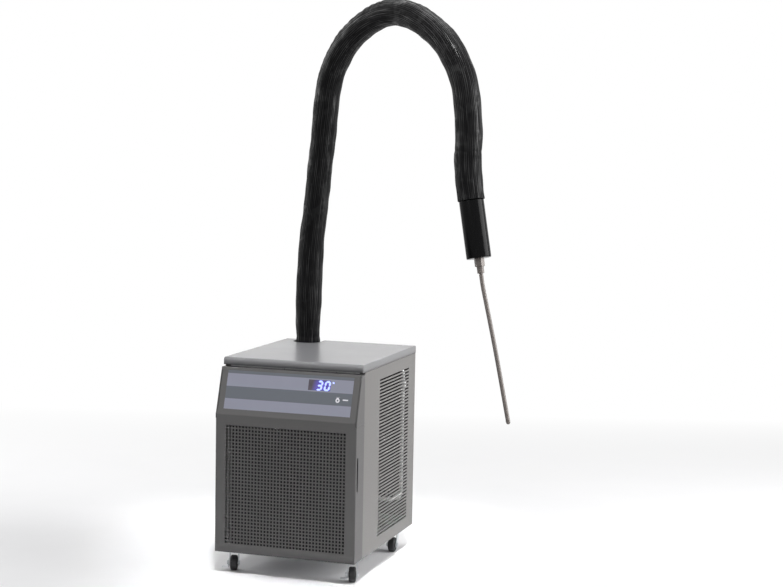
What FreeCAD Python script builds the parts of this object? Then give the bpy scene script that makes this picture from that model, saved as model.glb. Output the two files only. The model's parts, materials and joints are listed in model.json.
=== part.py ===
"""Immersion cooler: a wheeled refrigeration cabinet with a sleeved hose, a handle and a cold probe.

Millimetres. The origin is on the floor under the middle of the cabinet, +Z up, the front faces -Y
and +X is the right-hand side. Every driving size stands once in the sheet below.
"""
import FreeCAD, Part
import math
import os
import re
import Sketcher
from FreeCAD import Placement, Rotation, Vector

doc = FreeCAD.newDocument("immersion_cooler")
dims = doc.addObject("Spreadsheet::Sheet", "dims")

SIZES = [
    # cabinet
    ("cabinet_width", 365.0),
    ("cabinet_depth", 471.0),
    ("body_height", 477.0),
    ("caster_height", 57.0),
    ("sheet", 1.5),
    ("panel_fit", 0.2),
    ("lid_height", 19.0),
    ("lid_gap", 4.0),
    ("lid_front_radius", 8.0),
    ("lid_corner_radius", 4.0),
    ("front_step", 44.0),
    ("panel_lip", 14.0),
    ("pan_wall", 20.0),
    ("pan_screw_radius", 3.6),
    ("pan_screw_height", 2.2),
    # front cover
    ("kink_drop", 135.0),
    ("slope_setback", 36.0),
    ("flange_depth", 58.0),
    ("bend_outer", 2.7),
    ("kink_bend", 9.0),
    ("relief_gap", 1.2),
    ("relief_drop", 10.0),
    ("grille_pitch", 16.933),
    ("grille_columns", 19),
    ("grille_rows", 18),
    ("grille_hole", 11.6),
    ("grille_low", 25.6),
    ("finger_slot_length", 84.0),
    ("finger_slot_width", 9.4),
    ("finger_slot_inset", 12.0),
    ("finger_slot_low", 174.0),
    ("stud_radius", 3.0),
    ("stud_length", 9.0),
    ("stud_low", 70.0),
    ("stud_high", 400.0),
    # control panel
    ("overlay_width", 327.0),
    ("overlay_length", 96.0),
    ("overlay_low", 14.5),
    ("overlay_thickness", 0.6),
    ("window_width", 57.0),
    ("window_length", 26.0),
    ("window_low", 74.0),
    ("window_left", 48.8),
    ("window_thickness", 1.6),
    ("display_depth", 12.0),
    ("key_radius", 8.5),
    ("key_side", 128.0),
    ("key_up", 54.7),
    ("key_travel", 0.8),
    ("key_clearance", 0.15),
    ("key_rim", 1.2),
    ("key_rim_thickness", 0.4),
    ("key_switch_depth", 6.0),
    ("board_thickness", 1.6),
    # side louvres
    ("louvre_rows", 47),
    ("louvre_pitch", 8.49),
    ("louvre_opening", 4.2),
    ("louvre_length", 239.0),
    ("louvre_front", 173.0),
    ("louvre_top_drop", 53.0),
    # rear
    ("rear_flange", 26.0),
    ("inlet_width", 27.0),
    ("inlet_height", 20.0),
    ("inlet_depth", 24.0),
    ("inlet_side", 100.0),
    ("inlet_up", 60.0),
    ("vent_rows", 12),
    ("vent_pitch", 14.0),
    ("vent_opening", 5.0),
    ("vent_length", 120.0),
    ("vent_up", 150.0),
    # hose outlet
    ("hose_radius", 33.0),
    ("outlet_inset", 73.5),
    ("outlet_margin", 34.0),
    ("outlet_drop", 10.0),
    ("notch_radius", 39.0),
    ("trim_wall", 2.4),
    ("trim_lip", 2.2),
    ("gland_height", 30.0),
    ("bracket_reach", 44.0),
    # handle and probe
    ("handle_radius", 30.0),
    ("handle_length", 141.0),
    ("fitting_radius", 12.4),
    ("fitting_length", 36.0),
    ("weld_height", 0.45),
    ("weld_length", 2.4),
    ("nut_length", 20.0),
    ("nut_chamfer_size", 1.6),
    ("neck_radius", 8.4),
    ("rod_radius", 5.1),
    # condenser and fan
    ("condenser_width", 296.0),
    ("condenser_height", 308.0),
    ("condenser_depth", 38.0),
    ("condenser_front", 12.0),
    ("fin_count", 36),
    ("fin_groove", 4.0),
    ("fin_slot", 4.6),
    ("bend_radius", 9.0),
    ("bend_tube", 4.0),
    ("bend_count", 5),
    ("shroud_depth", 26.0),
    ("fan_radius", 118.0),
    ("fan_clearance", 6.0),
    ("hub_radius", 34.0),
    ("hub_depth", 16.0),
    ("blade_count", 5),
    ("blade_width", 78.0),
    ("blade_thickness", 2.0),
    ("blade_angle", 16.0),
    ("motor_radius", 40.0),
    ("motor_depth", 62.0),
    ("motor_shaft", 4.0),
    ("shaft_clearance", 0.05),
    ("arm_width", 14.0),
    # compressor
    ("shell_radius", 72.0),
    ("shell_height", 196.0),
    ("shell_dome", 44.0),
    ("shell_side", 62.0),
    ("shell_back", 80.0),
    ("foot_span", 84.0),
    ("foot_width", 30.0),
    ("foot_thickness", 3.0),
    ("grommet_height", 12.0),
    ("grommet_radius", 11.0),
    ("bolt_radius", 4.0),
    ("bolt_head", 7.0),
    ("terminal_width", 56.0),
    ("terminal_height", 64.0),
    ("terminal_depth", 26.0),
    # refrigerant parts
    ("exchanger_width", 110.0),
    ("exchanger_depth", 100.0),
    ("exchanger_height", 300.0),
    ("exchanger_round", 22.0),
    ("exchanger_gap", 18.0),
    ("tube_radius", 5.2),
    ("union_radius", 8.6),
    ("union_length", 20.0),
    ("tube_seat", 0.2),
    ("tube_side_inset", 10.5),
    ("tube_back", 160.0),
    ("tube_high", 482.0),
    ("tube_low", 152.0),
    ("drier_radius", 13.0),
    ("drier_length", 92.0),
    ("thin_tube", 2.4),
    # control box
    ("box_width", 250.0),
    ("box_depth", 96.0),
    ("box_height", 84.0),
    ("capacitor_radius", 20.0),
    ("capacitor_length", 62.0),
    # casters
    ("caster_side_inset", 26.5),
    ("caster_front_inset", 65.0),
    ("caster_back_inset", 77.0),
    ("caster_plate", 44.0),
    ("plate_thickness", 2.5),
    ("race_radius", 17.0),
    ("race_height", 4.0),
    ("race_gap", 0.3),
    ("kingpin_radius", 4.0),
    ("kingpin_clearance", 0.05),
    ("trail", 15.0),
    ("wheel_radius", 19.0),
    ("wheel_width", 19.0),
    ("tread_round", 6.0),
    ("axle_radius", 3.2),
    ("axle_clearance", 0.05),
    ("side_play", 0.6),
    ("leg_thickness", 2.0),
    ("leg_round", 8.0),
    ("nut_radius", 5.5),
    ("nut_height", 2.6),
    ("lever_reach", 17.0),
    ("front_swivel", 18.0),
    ("rear_swivel", 4.0),
    ("lever_width", 15.0),
    ("lever_drop", 11.0),
    ("lever_gap", 0.3),
]

for row, (alias, value) in enumerate(SIZES, start=1):
    dims.set("A%d" % row, alias)
    dims.set("B%d" % row, str(value))
    dims.setAlias("B%d" % row, alias)
doc.recompute()

ALIASES = {alias for alias, value in SIZES}


def size(alias):
    """The number that the sheet holds for one size."""
    return float(dims.get(alias))


def linked(text):
    """A formula in plain names, with each name pointed at its cell of the sheet."""
    return re.sub(r"[a-z_]+", lambda m: "dims." + m.group(0) if m.group(0) in ALIASES else m.group(0), text)


def bind(item, prop, text):
    item.setExpression(prop, linked(text))


# shared places, as formulas
FRONT = "(0 - cabinet_depth / 2)"
REAR = "(cabinet_depth / 2)"
LID_FRONT = "(front_step - cabinet_depth / 2)"
SEAM = "(flange_depth - cabinet_depth / 2)"
PANEL_REAR = "(cabinet_depth / 2 - rear_flange - panel_fit)"
PANEL_FRONT = "(flange_depth - cabinet_depth / 2 + panel_fit)"
FLOOR = "caster_height"
TOP = "(caster_height + body_height)"
LID_LOW = "(caster_height + body_height - lid_height)"
COVER_TOP = "(caster_height + body_height - lid_height - lid_gap)"
KINK = "(caster_height + body_height - kink_drop)"
INNER = "(cabinet_width / 2 - sheet)"
PAN_TOP = "(caster_height + sheet)"
LEAN = "(slope_setback / (kink_drop - lid_height - lid_gap))"
SECANT = "sqrt(1 + (slope_setback / (kink_drop - lid_height - lid_gap))^2)"
OUTLET_SIDE = "(outlet_inset - cabinet_width / 2)"
OUTLET_BACK = "(cabinet_depth / 2 - outlet_margin)"
GLAND_TOP = "(caster_height + body_height - outlet_drop)"
GLAND_LOW = "(caster_height + body_height - outlet_drop - gland_height)"
CONDENSER_FRONT = "(sheet + condenser_front - cabinet_depth / 2)"
CONDENSER_BACK = "(sheet + condenser_front + condenser_depth - cabinet_depth / 2)"
SHROUD_BACK = "(sheet + condenser_front + condenser_depth + shroud_depth - cabinet_depth / 2)"
FAN_HEIGHT = "(caster_height + sheet + condenser_height / 2)"
SHELL_LOW = "(caster_height + sheet + grommet_height)"

AXIS = {"Z": Rotation(), "X": Rotation(Vector(0, 1, 0), 90), "Y": Rotation(Vector(1, 0, 0), -90)}


def outlet(height):
    """The middle of the hose outlet at one height."""
    return Vector(size("outlet_inset") - size("cabinet_width") / 2,
                  size("cabinet_depth") / 2 - size("outlet_margin"), height)


def at(item, x, y, z):
    """Places a piece by three formulas."""
    for axis, text in zip("xyz", (x, y, z)):
        bind(item, "Placement.Base." + axis, text)


def box(name, length, width, height, x, y, z):
    """A plate or block with its low corner at x, y, z."""
    item = doc.addObject("Part::Box", name)
    bind(item, "Length", length)
    bind(item, "Width", width)
    bind(item, "Height", height)
    at(item, x, y, z)
    return item


def rod(name, radius, height, x, y, z, axis="Z"):
    """A round bar that starts at x, y, z and runs along one axis."""
    item = doc.addObject("Part::Cylinder", name)
    bind(item, "Radius", radius)
    bind(item, "Height", height)
    item.Placement = Placement(Vector(), AXIS[axis])
    at(item, x, y, z)
    return item


def cut(name, base, *tools):
    """Takes each tool out of the base in turn."""
    for count, tool in enumerate(tools, start=1):
        step = doc.addObject("Part::Cut", name if count == len(tools) else name + "_step%d" % count)
        step.Base = base
        step.Tool = tool
        step.Refine = False
        base = step
    return base


def fuse(name, *pieces):
    """Joins pieces that are one part on the real object."""
    item = doc.addObject("Part::MultiFuse", name)
    item.Shapes = list(pieces)
    item.Refine = True
    return item


def group(name, *pieces):
    """Separate solids of one kind that share a node."""
    item = doc.addObject("Part::Compound", name)
    item.Links = list(pieces)
    return item


def given(name, shape):
    """A shape worked out here from the sheet's sizes."""
    item = doc.addObject("Part::Feature", name)
    item.Shape = shape
    return item


def plane_of(body, role):
    for feature in body.Origin.OriginFeatures:
        if feature.Role == role:
            return feature
    raise ValueError(role)


def outline(body, name, role, points, offset=None):
    """A closed outline of straight edges, each corner held by two formulas."""
    sketch = body.newObject("Sketcher::SketchObject", name)
    sketch.AttachmentSupport = (plane_of(body, role), [""])
    sketch.MapMode = "FlatFace"
    if offset is not None:
        bind(sketch, "AttachmentOffset.Base.z", offset)
    count = len(points)
    for index in range(count):
        turn = 2 * math.pi * index / count
        after = 2 * math.pi * (index + 1) / count
        start = Vector(50 * math.cos(turn), 50 * math.sin(turn), 0)
        end = Vector(50 * math.cos(after), 50 * math.sin(after), 0)
        sketch.addGeometry(Part.LineSegment(start, end), False)
    for index in range(count):
        sketch.addConstraint(Sketcher.Constraint("Coincident", index, 2, (index + 1) % count, 1))
    for index, (across, up) in enumerate(points):
        for kind, text, mark in (("DistanceX", across, "x"), ("DistanceY", up, "y")):
            start = 50 * (math.cos if mark == "x" else math.sin)(2 * math.pi * index / count)
            held = sketch.addConstraint(Sketcher.Constraint(kind, -1, 1, index, 1, start))
            sketch.renameConstraint(held, "%s%d" % (mark, index))
            sketch.setExpression("Constraints.%s%d" % (mark, index), linked(text))
    return sketch


def ring(body, name, role, radius, x="0", y="0", offset=None):
    """A circle whose centre and radius are held by formulas."""
    sketch = body.newObject("Sketcher::SketchObject", name)
    sketch.AttachmentSupport = (plane_of(body, role), [""])
    sketch.MapMode = "FlatFace"
    if offset is not None:
        bind(sketch, "AttachmentOffset.Base.z", offset)
    sketch.addGeometry(Part.Circle(Vector(1, 1, 0), Vector(0, 0, 1), 5), False)
    for kind, text, mark in (("DistanceX", x, "x"), ("DistanceY", y, "y")):
        held = sketch.addConstraint(Sketcher.Constraint(kind, -1, 1, 0, 3, 1.0))
        sketch.renameConstraint(held, mark)
        sketch.setExpression("Constraints." + mark, linked(text))
    held = sketch.addConstraint(Sketcher.Constraint("Radius", 0, 5.0))
    sketch.renameConstraint(held, "r")
    sketch.setExpression("Constraints.r", linked(radius))
    return sketch


def new_body(name):
    return doc.addObject("PartDesign::Body", name)


def pad(body, name, profile, length, midplane=False, reverse=False):
    item = body.newObject("PartDesign::Pad", name)
    item.Profile = profile
    bind(item, "Length", length)
    item.Midplane = midplane
    item.Reversed = reverse
    return item


def pocket(body, name, profile, length, midplane=False, reverse=False):
    item = body.newObject("PartDesign::Pocket", name)
    item.Profile = profile
    bind(item, "Length", length)
    item.Midplane = midplane
    item.Reversed = reverse
    return item


def round_edges(body, name, radius, wanted):
    """Rounds the edges of the body so far for which wanted(edge) holds."""
    doc.recompute()
    tip = body.Tip
    picked = ["Edge%d" % n for n, edge in enumerate(tip.Shape.Edges, start=1) if wanted(edge)]
    item = body.newObject("PartDesign::Fillet", name)
    item.Base = (tip, picked)
    bind(item, "Radius", radius)
    return item


def rectangle(left, right, low, high):
    return [(left, low), (right, low), (right, high), (left, high)]


kept = []


def keep(item, label=None):
    """Marks a finished sub-part, whose label names its file."""
    if label:
        item.Label = label
    kept.append(item)
    return item


def along(edge, direction):
    """True for a straight edge that runs along one direction."""
    if not isinstance(edge.Curve, Part.Line):
        return False
    return abs(abs(edge.Curve.Direction.dot(direction)) - 1) < 1e-6


X, Y, Z = Vector(1, 0, 0), Vector(0, 1, 0), Vector(0, 0, 1)


# base pan: a tray of folded sheet that carries the refrigeration set and the casters
def base_pan():
    tray = box("pan_blank", "2 * (INNER - panel_fit)".replace("INNER", INNER),
               "cabinet_depth - 2 * sheet - 2 * panel_fit", "pan_wall",
               "panel_fit - " + INNER, FRONT + " + sheet + panel_fit", FLOOR)
    hollow = box("pan_hollow", "2 * (INNER - panel_fit - sheet)".replace("INNER", INNER),
                 "cabinet_depth - 4 * sheet - 2 * panel_fit", "pan_wall",
                 "panel_fit + sheet - " + INNER, FRONT + " + 2 * sheet + panel_fit", PAN_TOP)
    keep(cut("base_pan", tray, hollow))


def pan_screws():
    """Hexagon-head screws up through the pan's front and rear edges."""
    heads = []
    for index, (across, inset) in enumerate((("0 - 4", "9"), ("98", "9"), ("0 - 98", "cabinet_depth - 9"),
                                             ("4", "cabinet_depth - 9"))):
        heads.append(rod("pan_screw%d" % index, "pan_screw_radius", "pan_screw_height", across,
                         FRONT + " + " + inset, FLOOR + " - pan_screw_height"))
    keep(group("pan_screws", *heads))


# side panels: a web with lips folded inwards, and one field of long slots
def louvre_cutters(side):
    """One flat bar for each slot of the louvre field, all through the panel's web."""
    half = size("cabinet_width") / 2
    top = size("caster_height") + size("body_height") - size("louvre_top_drop")
    front = size("louvre_front") - size("cabinet_depth") / 2
    bars = []
    for index in range(int(size("louvre_rows"))):
        middle = top - index * size("louvre_pitch")
        corner = Vector(side * half - 3 * size("sheet"), front, middle - size("louvre_opening") / 2)
        bars.append(Part.makeBox(6 * size("sheet"), size("louvre_length"), size("louvre_opening"), corner))
    return Part.makeCompound(bars)


def side_panel(name, side):
    web_left = "cabinet_width / 2 - sheet" if side > 0 else "0 - cabinet_width / 2"
    lip_left = "cabinet_width / 2 - panel_lip" if side > 0 else "0 - cabinet_width / 2"
    depth = "%s - %s" % (PANEL_REAR, PANEL_FRONT)
    height = "body_height - lid_height"
    web = box(name + "_web", "sheet", depth, height, web_left, PANEL_FRONT, FLOOR)
    front_lip = box(name + "_front_lip", "panel_lip", "sheet", height + " - pan_wall - panel_fit",
                    lip_left, PANEL_FRONT, FLOOR + " + pan_wall + panel_fit")
    rear_lip = box(name + "_rear_lip", "panel_lip", "sheet", height + " - pan_wall - panel_fit",
                   lip_left, PANEL_REAR + " - sheet", FLOOR + " + pan_wall + panel_fit")
    top_lip = box(name + "_top_lip", "panel_lip", depth + " - sheet", "sheet",
                  lip_left, PANEL_FRONT, LID_LOW + " - sheet")
    sheet = fuse(name + "_blank", web, front_lip, rear_lip, top_lip)
    keep(cut(name, sheet, given(name + "_slots", louvre_cutters(side))))


# rear panel: folded round both rear corners, with vents and the inlet's cut-out
def rear_panel():
    body = new_body("rear_body")
    plan = outline(body, "rear_plan", "XY_Plane", [
        ("0 - cabinet_width / 2", REAR + " - rear_flange"),
        ("sheet - cabinet_width / 2", REAR + " - rear_flange"),
        ("sheet - cabinet_width / 2", REAR + " - sheet"),
        ("cabinet_width / 2 - sheet", REAR + " - sheet"),
        ("cabinet_width / 2 - sheet", REAR + " - rear_flange"),
        ("cabinet_width / 2", REAR + " - rear_flange"),
        ("cabinet_width / 2", REAR),
        ("0 - cabinet_width / 2", REAR),
    ], offset=FLOOR)
    pad(body, "rear_fold", plan, "body_height - lid_height")
    rear = size("cabinet_depth") / 2
    round_edges(body, "rear_bends", "bend_outer",
                lambda e: along(e, Z) and abs(e.CenterOfMass.y - rear) < 0.1)
    hole = box("inlet_hole", "inlet_width", "3 * sheet", "inlet_height",
               "inlet_side - inlet_width / 2", REAR + " - 2 * sheet", FLOOR + " + inlet_up")
    vents = []
    for index in range(int(size("vent_rows"))):
        low = size("caster_height") + size("vent_up") + index * size("vent_pitch")
        corner = Vector(-size("vent_length") / 2, size("cabinet_depth") / 2 - 2 * size("sheet"), low)
        vents.append(Part.makeBox(size("vent_length"), 3 * size("sheet"), size("vent_opening"), corner))
    keep(cut("rear_panel", body, hole, given("vent_cutters", Part.makeCompound(vents))))


def mains_inlet():
    """Appliance inlet: a flanged shell with three contact blades in its well."""
    body = box("inlet_shell", "inlet_width - 2 * panel_fit", "inlet_depth", "inlet_height - 2 * panel_fit",
               "inlet_side - inlet_width / 2 + panel_fit", REAR + " - inlet_depth",
               FLOOR + " + inlet_up + panel_fit")
    rim = box("inlet_rim", "inlet_width + 8", "1.6", "inlet_height + 8",
              "inlet_side - inlet_width / 2 - 4", REAR + " - sheet - 1.6", FLOOR + " + inlet_up - 4")
    well = box("inlet_well", "inlet_width - 6", "16", "inlet_height - 6",
               "inlet_side - inlet_width / 2 + 3", REAR + " - 15", FLOOR + " + inlet_up + 3")
    blades = []
    for index in (-1, 0, 1):
        blades.append(box("inlet_blade%d" % (index + 2), "2", "12", "5",
                          "inlet_side - 1 + %d * 6" % index, REAR + " - 15.5",
                          FLOOR + " + inlet_up + inlet_height / 2 - 2.5"))
    keep(fuse("mains_inlet", cut("inlet_open", fuse("inlet_solid", body, rim), well), *blades))


# lid: a shallow folded tray upside down, open at the back where the hose comes up
def lid():
    body = new_body("lid_body")
    plan = outline(body, "lid_plan", "XY_Plane",
                   rectangle("0 - cabinet_width / 2", "cabinet_width / 2", LID_FRONT, REAR), offset=LID_LOW)
    pad(body, "lid_block", plan, "lid_height")
    round_edges(body, "lid_corners", "lid_corner_radius",
                lambda e: along(e, Z) and e.CenterOfMass.y < 0)
    top = size("caster_height") + size("body_height")
    front = size("front_step") - size("cabinet_depth") / 2
    round_edges(body, "lid_front_edge", "lid_front_radius",
                lambda e: along(e, X) and abs(e.CenterOfMass.z - top) < 0.1
                and abs(e.CenterOfMass.y - front) < 0.1)
    under = outline(body, "lid_under", "XY_Plane",
                    rectangle("sheet - cabinet_width / 2", "cabinet_width / 2 - sheet",
                              LID_FRONT + " + lid_front_radius", REAR + " - sheet"), offset=LID_LOW)
    pocket(body, "lid_hollow", under, "lid_height - sheet", reverse=True)
    notch = ring(body, "lid_notch", "XY_Plane", "notch_radius", OUTLET_SIDE, OUTLET_BACK,
                 offset=LID_LOW + " - 1")
    pocket(body, "lid_notch_round", notch, "lid_height + 2", reverse=True)
    mouth = outline(body, "lid_mouth", "XY_Plane",
                    rectangle(OUTLET_SIDE + " - notch_radius", OUTLET_SIDE + " + notch_radius",
                              OUTLET_BACK, REAR + " + 1"), offset=LID_LOW + " - 1")
    pocket(body, "lid_notch_mouth", mouth, "lid_height + 2", reverse=True)
    keep(body, "lid")


def lid_edge_trim():
    """U-shaped rubber trim round the notch, flush with the lid, with a lip that grips its underside."""
    outer = size("notch_radius") - size("panel_fit")
    inner = outer - size("trim_wall")
    lip = size("notch_radius") + size("trim_lip")
    top = size("caster_height") + size("body_height")
    back = size("cabinet_depth") / 2
    centre = outlet(0)

    def u_form(radius, low, high, end):
        disc = Part.makeCylinder(radius, high - low, centre + Vector(0, 0, low))
        run = Part.makeBox(2 * radius, end - centre.y, high - low, centre + Vector(-radius, 0, low))
        return disc.fuse(run)

    under = top - size("sheet") - 0.1
    skirt = back - size("sheet") - size("panel_fit")
    wall = u_form(outer, under - size("trim_wall"), top, back)
    collar = u_form(lip, under - size("trim_wall"), under, skirt)
    void = u_form(inner, top - 20, top + 20, back + 1)
    limit = Part.makeBox(4 * lip, back - centre.y + 2 * lip, 60,
                         Vector(centre.x - 2 * lip, centre.y - 2 * lip, top - 30))
    given("trim_shape", wall.fuse(collar).cut(void).common(limit).removeSplitter())
    keep(doc.getObject("trim_shape"), "lid_edge_trim")


# front cover: grille face, sloped panel and two side flanges folded from one sheet
def slope_tool(name, left, length, low, height, thickness):
    """A block that stands through the sloped skin, placed in the slope's own frame."""
    item = doc.addObject("Part::Box", name)
    bind(item, "Length", length)
    bind(item, "Width", height)
    bind(item, "Height", thickness)
    lay_on_slope(item, left, low, "0 - %s / 2" % thickness)
    return item


def lay_on_slope(item, side, up, out):
    """Places a piece drawn flat so that its Y runs up the slope and its Z points out of it."""
    item.Placement = Placement(Vector(), Rotation(Vector(1, 0, 0), 72))
    rise = "(kink_drop - lid_height - lid_gap)"
    bind(item, "Placement.Rotation.Angle", "atan2(%s; slope_setback)" % rise)
    bind(item, "Placement.Base.x", side)
    bind(item, "Placement.Base.y",
         "%s + (%s) * %s / %s - (%s) / %s" % (FRONT, up, LEAN, SECANT, out, SECANT))
    bind(item, "Placement.Base.z",
         "%s + (%s) / %s + (%s) * %s / %s" % (KINK, up, SECANT, out, LEAN, SECANT))


def front_cover():
    body = new_body("cover_body")
    skin = outline(body, "cover_outline", "YZ_Plane", [
        (FRONT, FLOOR),
        (SEAM, FLOOR),
        (SEAM, COVER_TOP),
        (FRONT + " + slope_setback", COVER_TOP),
        (FRONT, KINK),
    ])
    pad(body, "cover_block", skin, "cabinet_width", midplane=True)
    front = -size("cabinet_depth") / 2
    kink = size("caster_height") + size("body_height") - size("kink_drop")
    round_edges(body, "cover_kink", "kink_bend", lambda e: along(e, X) and abs(e.CenterOfMass.z - kink) < 0.1
                and abs(e.CenterOfMass.y - front) < 0.1)
    round_edges(body, "cover_bends", "bend_outer",
                lambda e: along(e, Z) and abs(e.CenterOfMass.y - front) < 0.1)
    hollow = outline(body, "cover_inside", "YZ_Plane", [
        (FRONT + " + sheet", FLOOR + " - 1"),
        (SEAM + " + 1", FLOOR + " - 1"),
        (SEAM + " + 1", COVER_TOP + " - sheet"),
        ("%s + (%s - sheet - %s) * %s + sheet * %s" % (FRONT, COVER_TOP, KINK, LEAN, SECANT),
         COVER_TOP + " - sheet"),
        (FRONT + " + sheet", "%s + sheet * (1 - %s) / %s" % (KINK, SECANT, LEAN)),
    ])
    pocket(body, "cover_hollow", hollow, "cabinet_width - 2 * sheet", midplane=True)
    slots = []
    for side in (-1, 1):
        slots.append(finger_slot_tool("finger_slot_left" if side < 0 else "finger_slot_right", side))
    reliefs = [relief_tool("relief_left", -1), relief_tool("relief_right", 1)]
    window = slope_tool("window_opening", "window_left", "window_width", "window_low", "window_length",
                        "8 * sheet")
    key = doc.addObject("Part::Cylinder", "key_opening")
    bind(key, "Radius", "key_radius + key_clearance")
    bind(key, "Height", "8 * sheet")
    lay_on_slope(key, "key_side", "key_up", "0 - 4 * sheet")
    holes = given("grille_cutters", grille_cutters())
    keep(cut("front_cover", body, *slots, *reliefs, window, key, holes))


def grille_cutters():
    """Square bars through the front skin, on an even grid about the middle."""
    pitch, side = size("grille_pitch"), size("grille_hole")
    columns, rows = int(size("grille_columns")), int(size("grille_rows"))
    front = -size("cabinet_depth") / 2
    low = size("caster_height") + size("grille_low")
    bars = []
    for column in range(columns):
        for row in range(rows):
            x = (column - (columns - 1) / 2) * pitch
            z = low + row * pitch
            corner = Vector(x - side / 2, front - size("sheet"), z - side / 2)
            bars.append(Part.makeBox(side, 3 * size("sheet"), side, corner))
    return Part.makeCompound(bars)


def finger_slot_tool(name, side):
    """A bar with round ends through one flange, upright, where fingers pull the cover off."""
    body = new_body(name)
    radius = "finger_slot_width / 2"
    middle = FRONT + " + finger_slot_inset"
    low = FLOOR + " + finger_slot_low"
    high = FLOOR + " + finger_slot_low + finger_slot_length"
    place = "cabinet_width / 2" if side > 0 else "0 - cabinet_width / 2"
    flat = outline(body, name + "_flat", "YZ_Plane",
                   rectangle(middle + " - " + radius, middle + " + " + radius,
                             low + " + " + radius, high + " - " + radius), offset=place)
    pad(body, name + "_run", flat, "8 * sheet", midplane=True)
    for end, height in (("low", low + " + " + radius), ("high", high + " - " + radius)):
        circle = ring(body, name + "_" + end, "YZ_Plane", radius, middle, height, offset=place)
        pad(body, name + "_end_" + end, circle, "8 * sheet", midplane=True)
    return body


def relief_tool(name, side):
    """A thin slice that parts the sloped skin from its flange, down to just below the bend."""
    body = new_body(name)
    place = "cabinet_width / 2 - sheet - relief_gap / 2"
    if side < 0:
        place = "0 - (%s)" % place
    slice_outline = outline(body, name + "_outline", "YZ_Plane", [
        (FRONT + " - 1", KINK + " - relief_drop"),
        (FRONT + " + 3 * sheet", KINK + " - relief_drop"),
        (FRONT + " + 3 * sheet", KINK),
        (FRONT + " + slope_setback + 3 * sheet", COVER_TOP + " + 1"),
        (FRONT + " + slope_setback - 1", COVER_TOP + " + 1"),
        (FRONT + " - 1", KINK),
    ], offset=place)
    pad(body, name + "_slice", slice_outline, "relief_gap", midplane=True)
    return body


def control_panel():
    """Overlay, window, display module, key and its switch, all laid on the slope."""
    plate = doc.addObject("Part::Box", "overlay_blank")
    bind(plate, "Length", "overlay_width")
    bind(plate, "Width", "overlay_length")
    bind(plate, "Height", "overlay_thickness")
    lay_on_slope(plate, "0 - overlay_width / 2", "overlay_low", "0")
    glass = slope_tool("overlay_window", "window_left", "window_width", "window_low", "window_length", "6")
    hole = doc.addObject("Part::Cylinder", "overlay_key_hole")
    bind(hole, "Radius", "key_radius + key_clearance")
    bind(hole, "Height", "6")
    lay_on_slope(hole, "key_side", "key_up", "0 - 3")
    keep(cut("label_overlay", plate, glass, hole))

    lens = doc.addObject("Part::Box", "display_window")
    bind(lens, "Length", "window_width - 2 * panel_fit")
    bind(lens, "Width", "window_length - 2 * panel_fit")
    bind(lens, "Height", "window_thickness")
    lay_on_slope(lens, "window_left + panel_fit", "window_low + panel_fit", "0 - sheet")
    keep(lens)

    module = doc.addObject("Part::Box", "display_module")
    bind(module, "Length", "window_width + 10")
    bind(module, "Width", "window_length + 8")
    bind(module, "Height", "display_depth")
    lay_on_slope(module, "window_left - 5", "window_low - 4", "0 - sheet - display_depth")
    keep(module)

    cap = new_body("key_body")
    face = ring(cap, "key_face", "XY_Plane", "key_radius", offset="0 - 0.1")
    pad(cap, "key_cap", face, "sheet + overlay_thickness + key_travel + 0.1")
    rim = ring(cap, "key_rim_face", "XY_Plane", "key_radius + key_rim", offset="0 - 0.05")
    pad(cap, "key_rim_pad", rim, "key_rim_thickness", reverse=True)
    lay_on_slope(cap, "key_side", "key_up", "0 - sheet")
    keep(cap, "power_key")

    switch = doc.addObject("Part::Box", "key_switch_box")
    bind(switch, "Length", "2 * key_radius + 6")
    bind(switch, "Width", "2 * key_radius + 6")
    bind(switch, "Height", "key_switch_depth")
    lay_on_slope(switch, "key_side - key_radius - 3", "key_up - key_radius - 3",
                 "0 - sheet - key_travel - key_rim_thickness - 0.4 - key_switch_depth")
    posts = []
    for count, (across, up) in enumerate(((0, 0), (1, 0), (0, 1), (1, 1))):
        post = doc.addObject("Part::Box", "key_post%d" % count)
        bind(post, "Length", "2.5")
        bind(post, "Width", "2.5")
        bind(post, "Height", "key_travel + key_rim_thickness + 0.4")
        lay_on_slope(post, "key_side - key_radius - 3 + %d * (2 * key_radius + 3.5)" % across,
                     "key_up - key_radius - 3 + %d * (2 * key_radius + 3.5)" % up,
                     "0 - sheet - key_travel - key_rim_thickness - 0.4")
        posts.append(post)
    keep(fuse("key_switch_block", switch, *posts), "key_switch")


def cover_studs():
    """Four round studs on the side panels' front lips, which the cover's flanges slide over."""
    studs = []
    for side in (-1, 1):
        for name, height in (("low", "stud_low"), ("high", "stud_high")):
            across = INNER + " - panel_fit - stud_radius"
            if side < 0:
                across = "0 - (%s)" % across
            studs.append(rod("stud_%s_%s" % ("left" if side < 0 else "right", name), "stud_radius",
                             "stud_length", across, PANEL_FRONT + " - stud_length",
                             FLOOR + " + " + height, "Y"))
    keep(group("cover_studs", *studs))


def top_rail():
    """Rail across the front of the cabinet that ties the side panels and carries the lid."""
    run = "2 * (INNER - panel_fit)".replace("INNER", INNER)
    shelf = box("rail_shelf", run, "24", "sheet", "panel_fit - " + INNER,
                PANEL_FRONT + " + sheet + panel_fit", LID_LOW + " - 2 * sheet - panel_fit")
    apron = box("rail_apron", run, "sheet", "22", "panel_fit - " + INNER,
                PANEL_FRONT + " + sheet + panel_fit", LID_LOW + " - 2 * sheet - panel_fit - 22 + sheet")
    keep(fuse("top_rail", shelf, apron))


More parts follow.
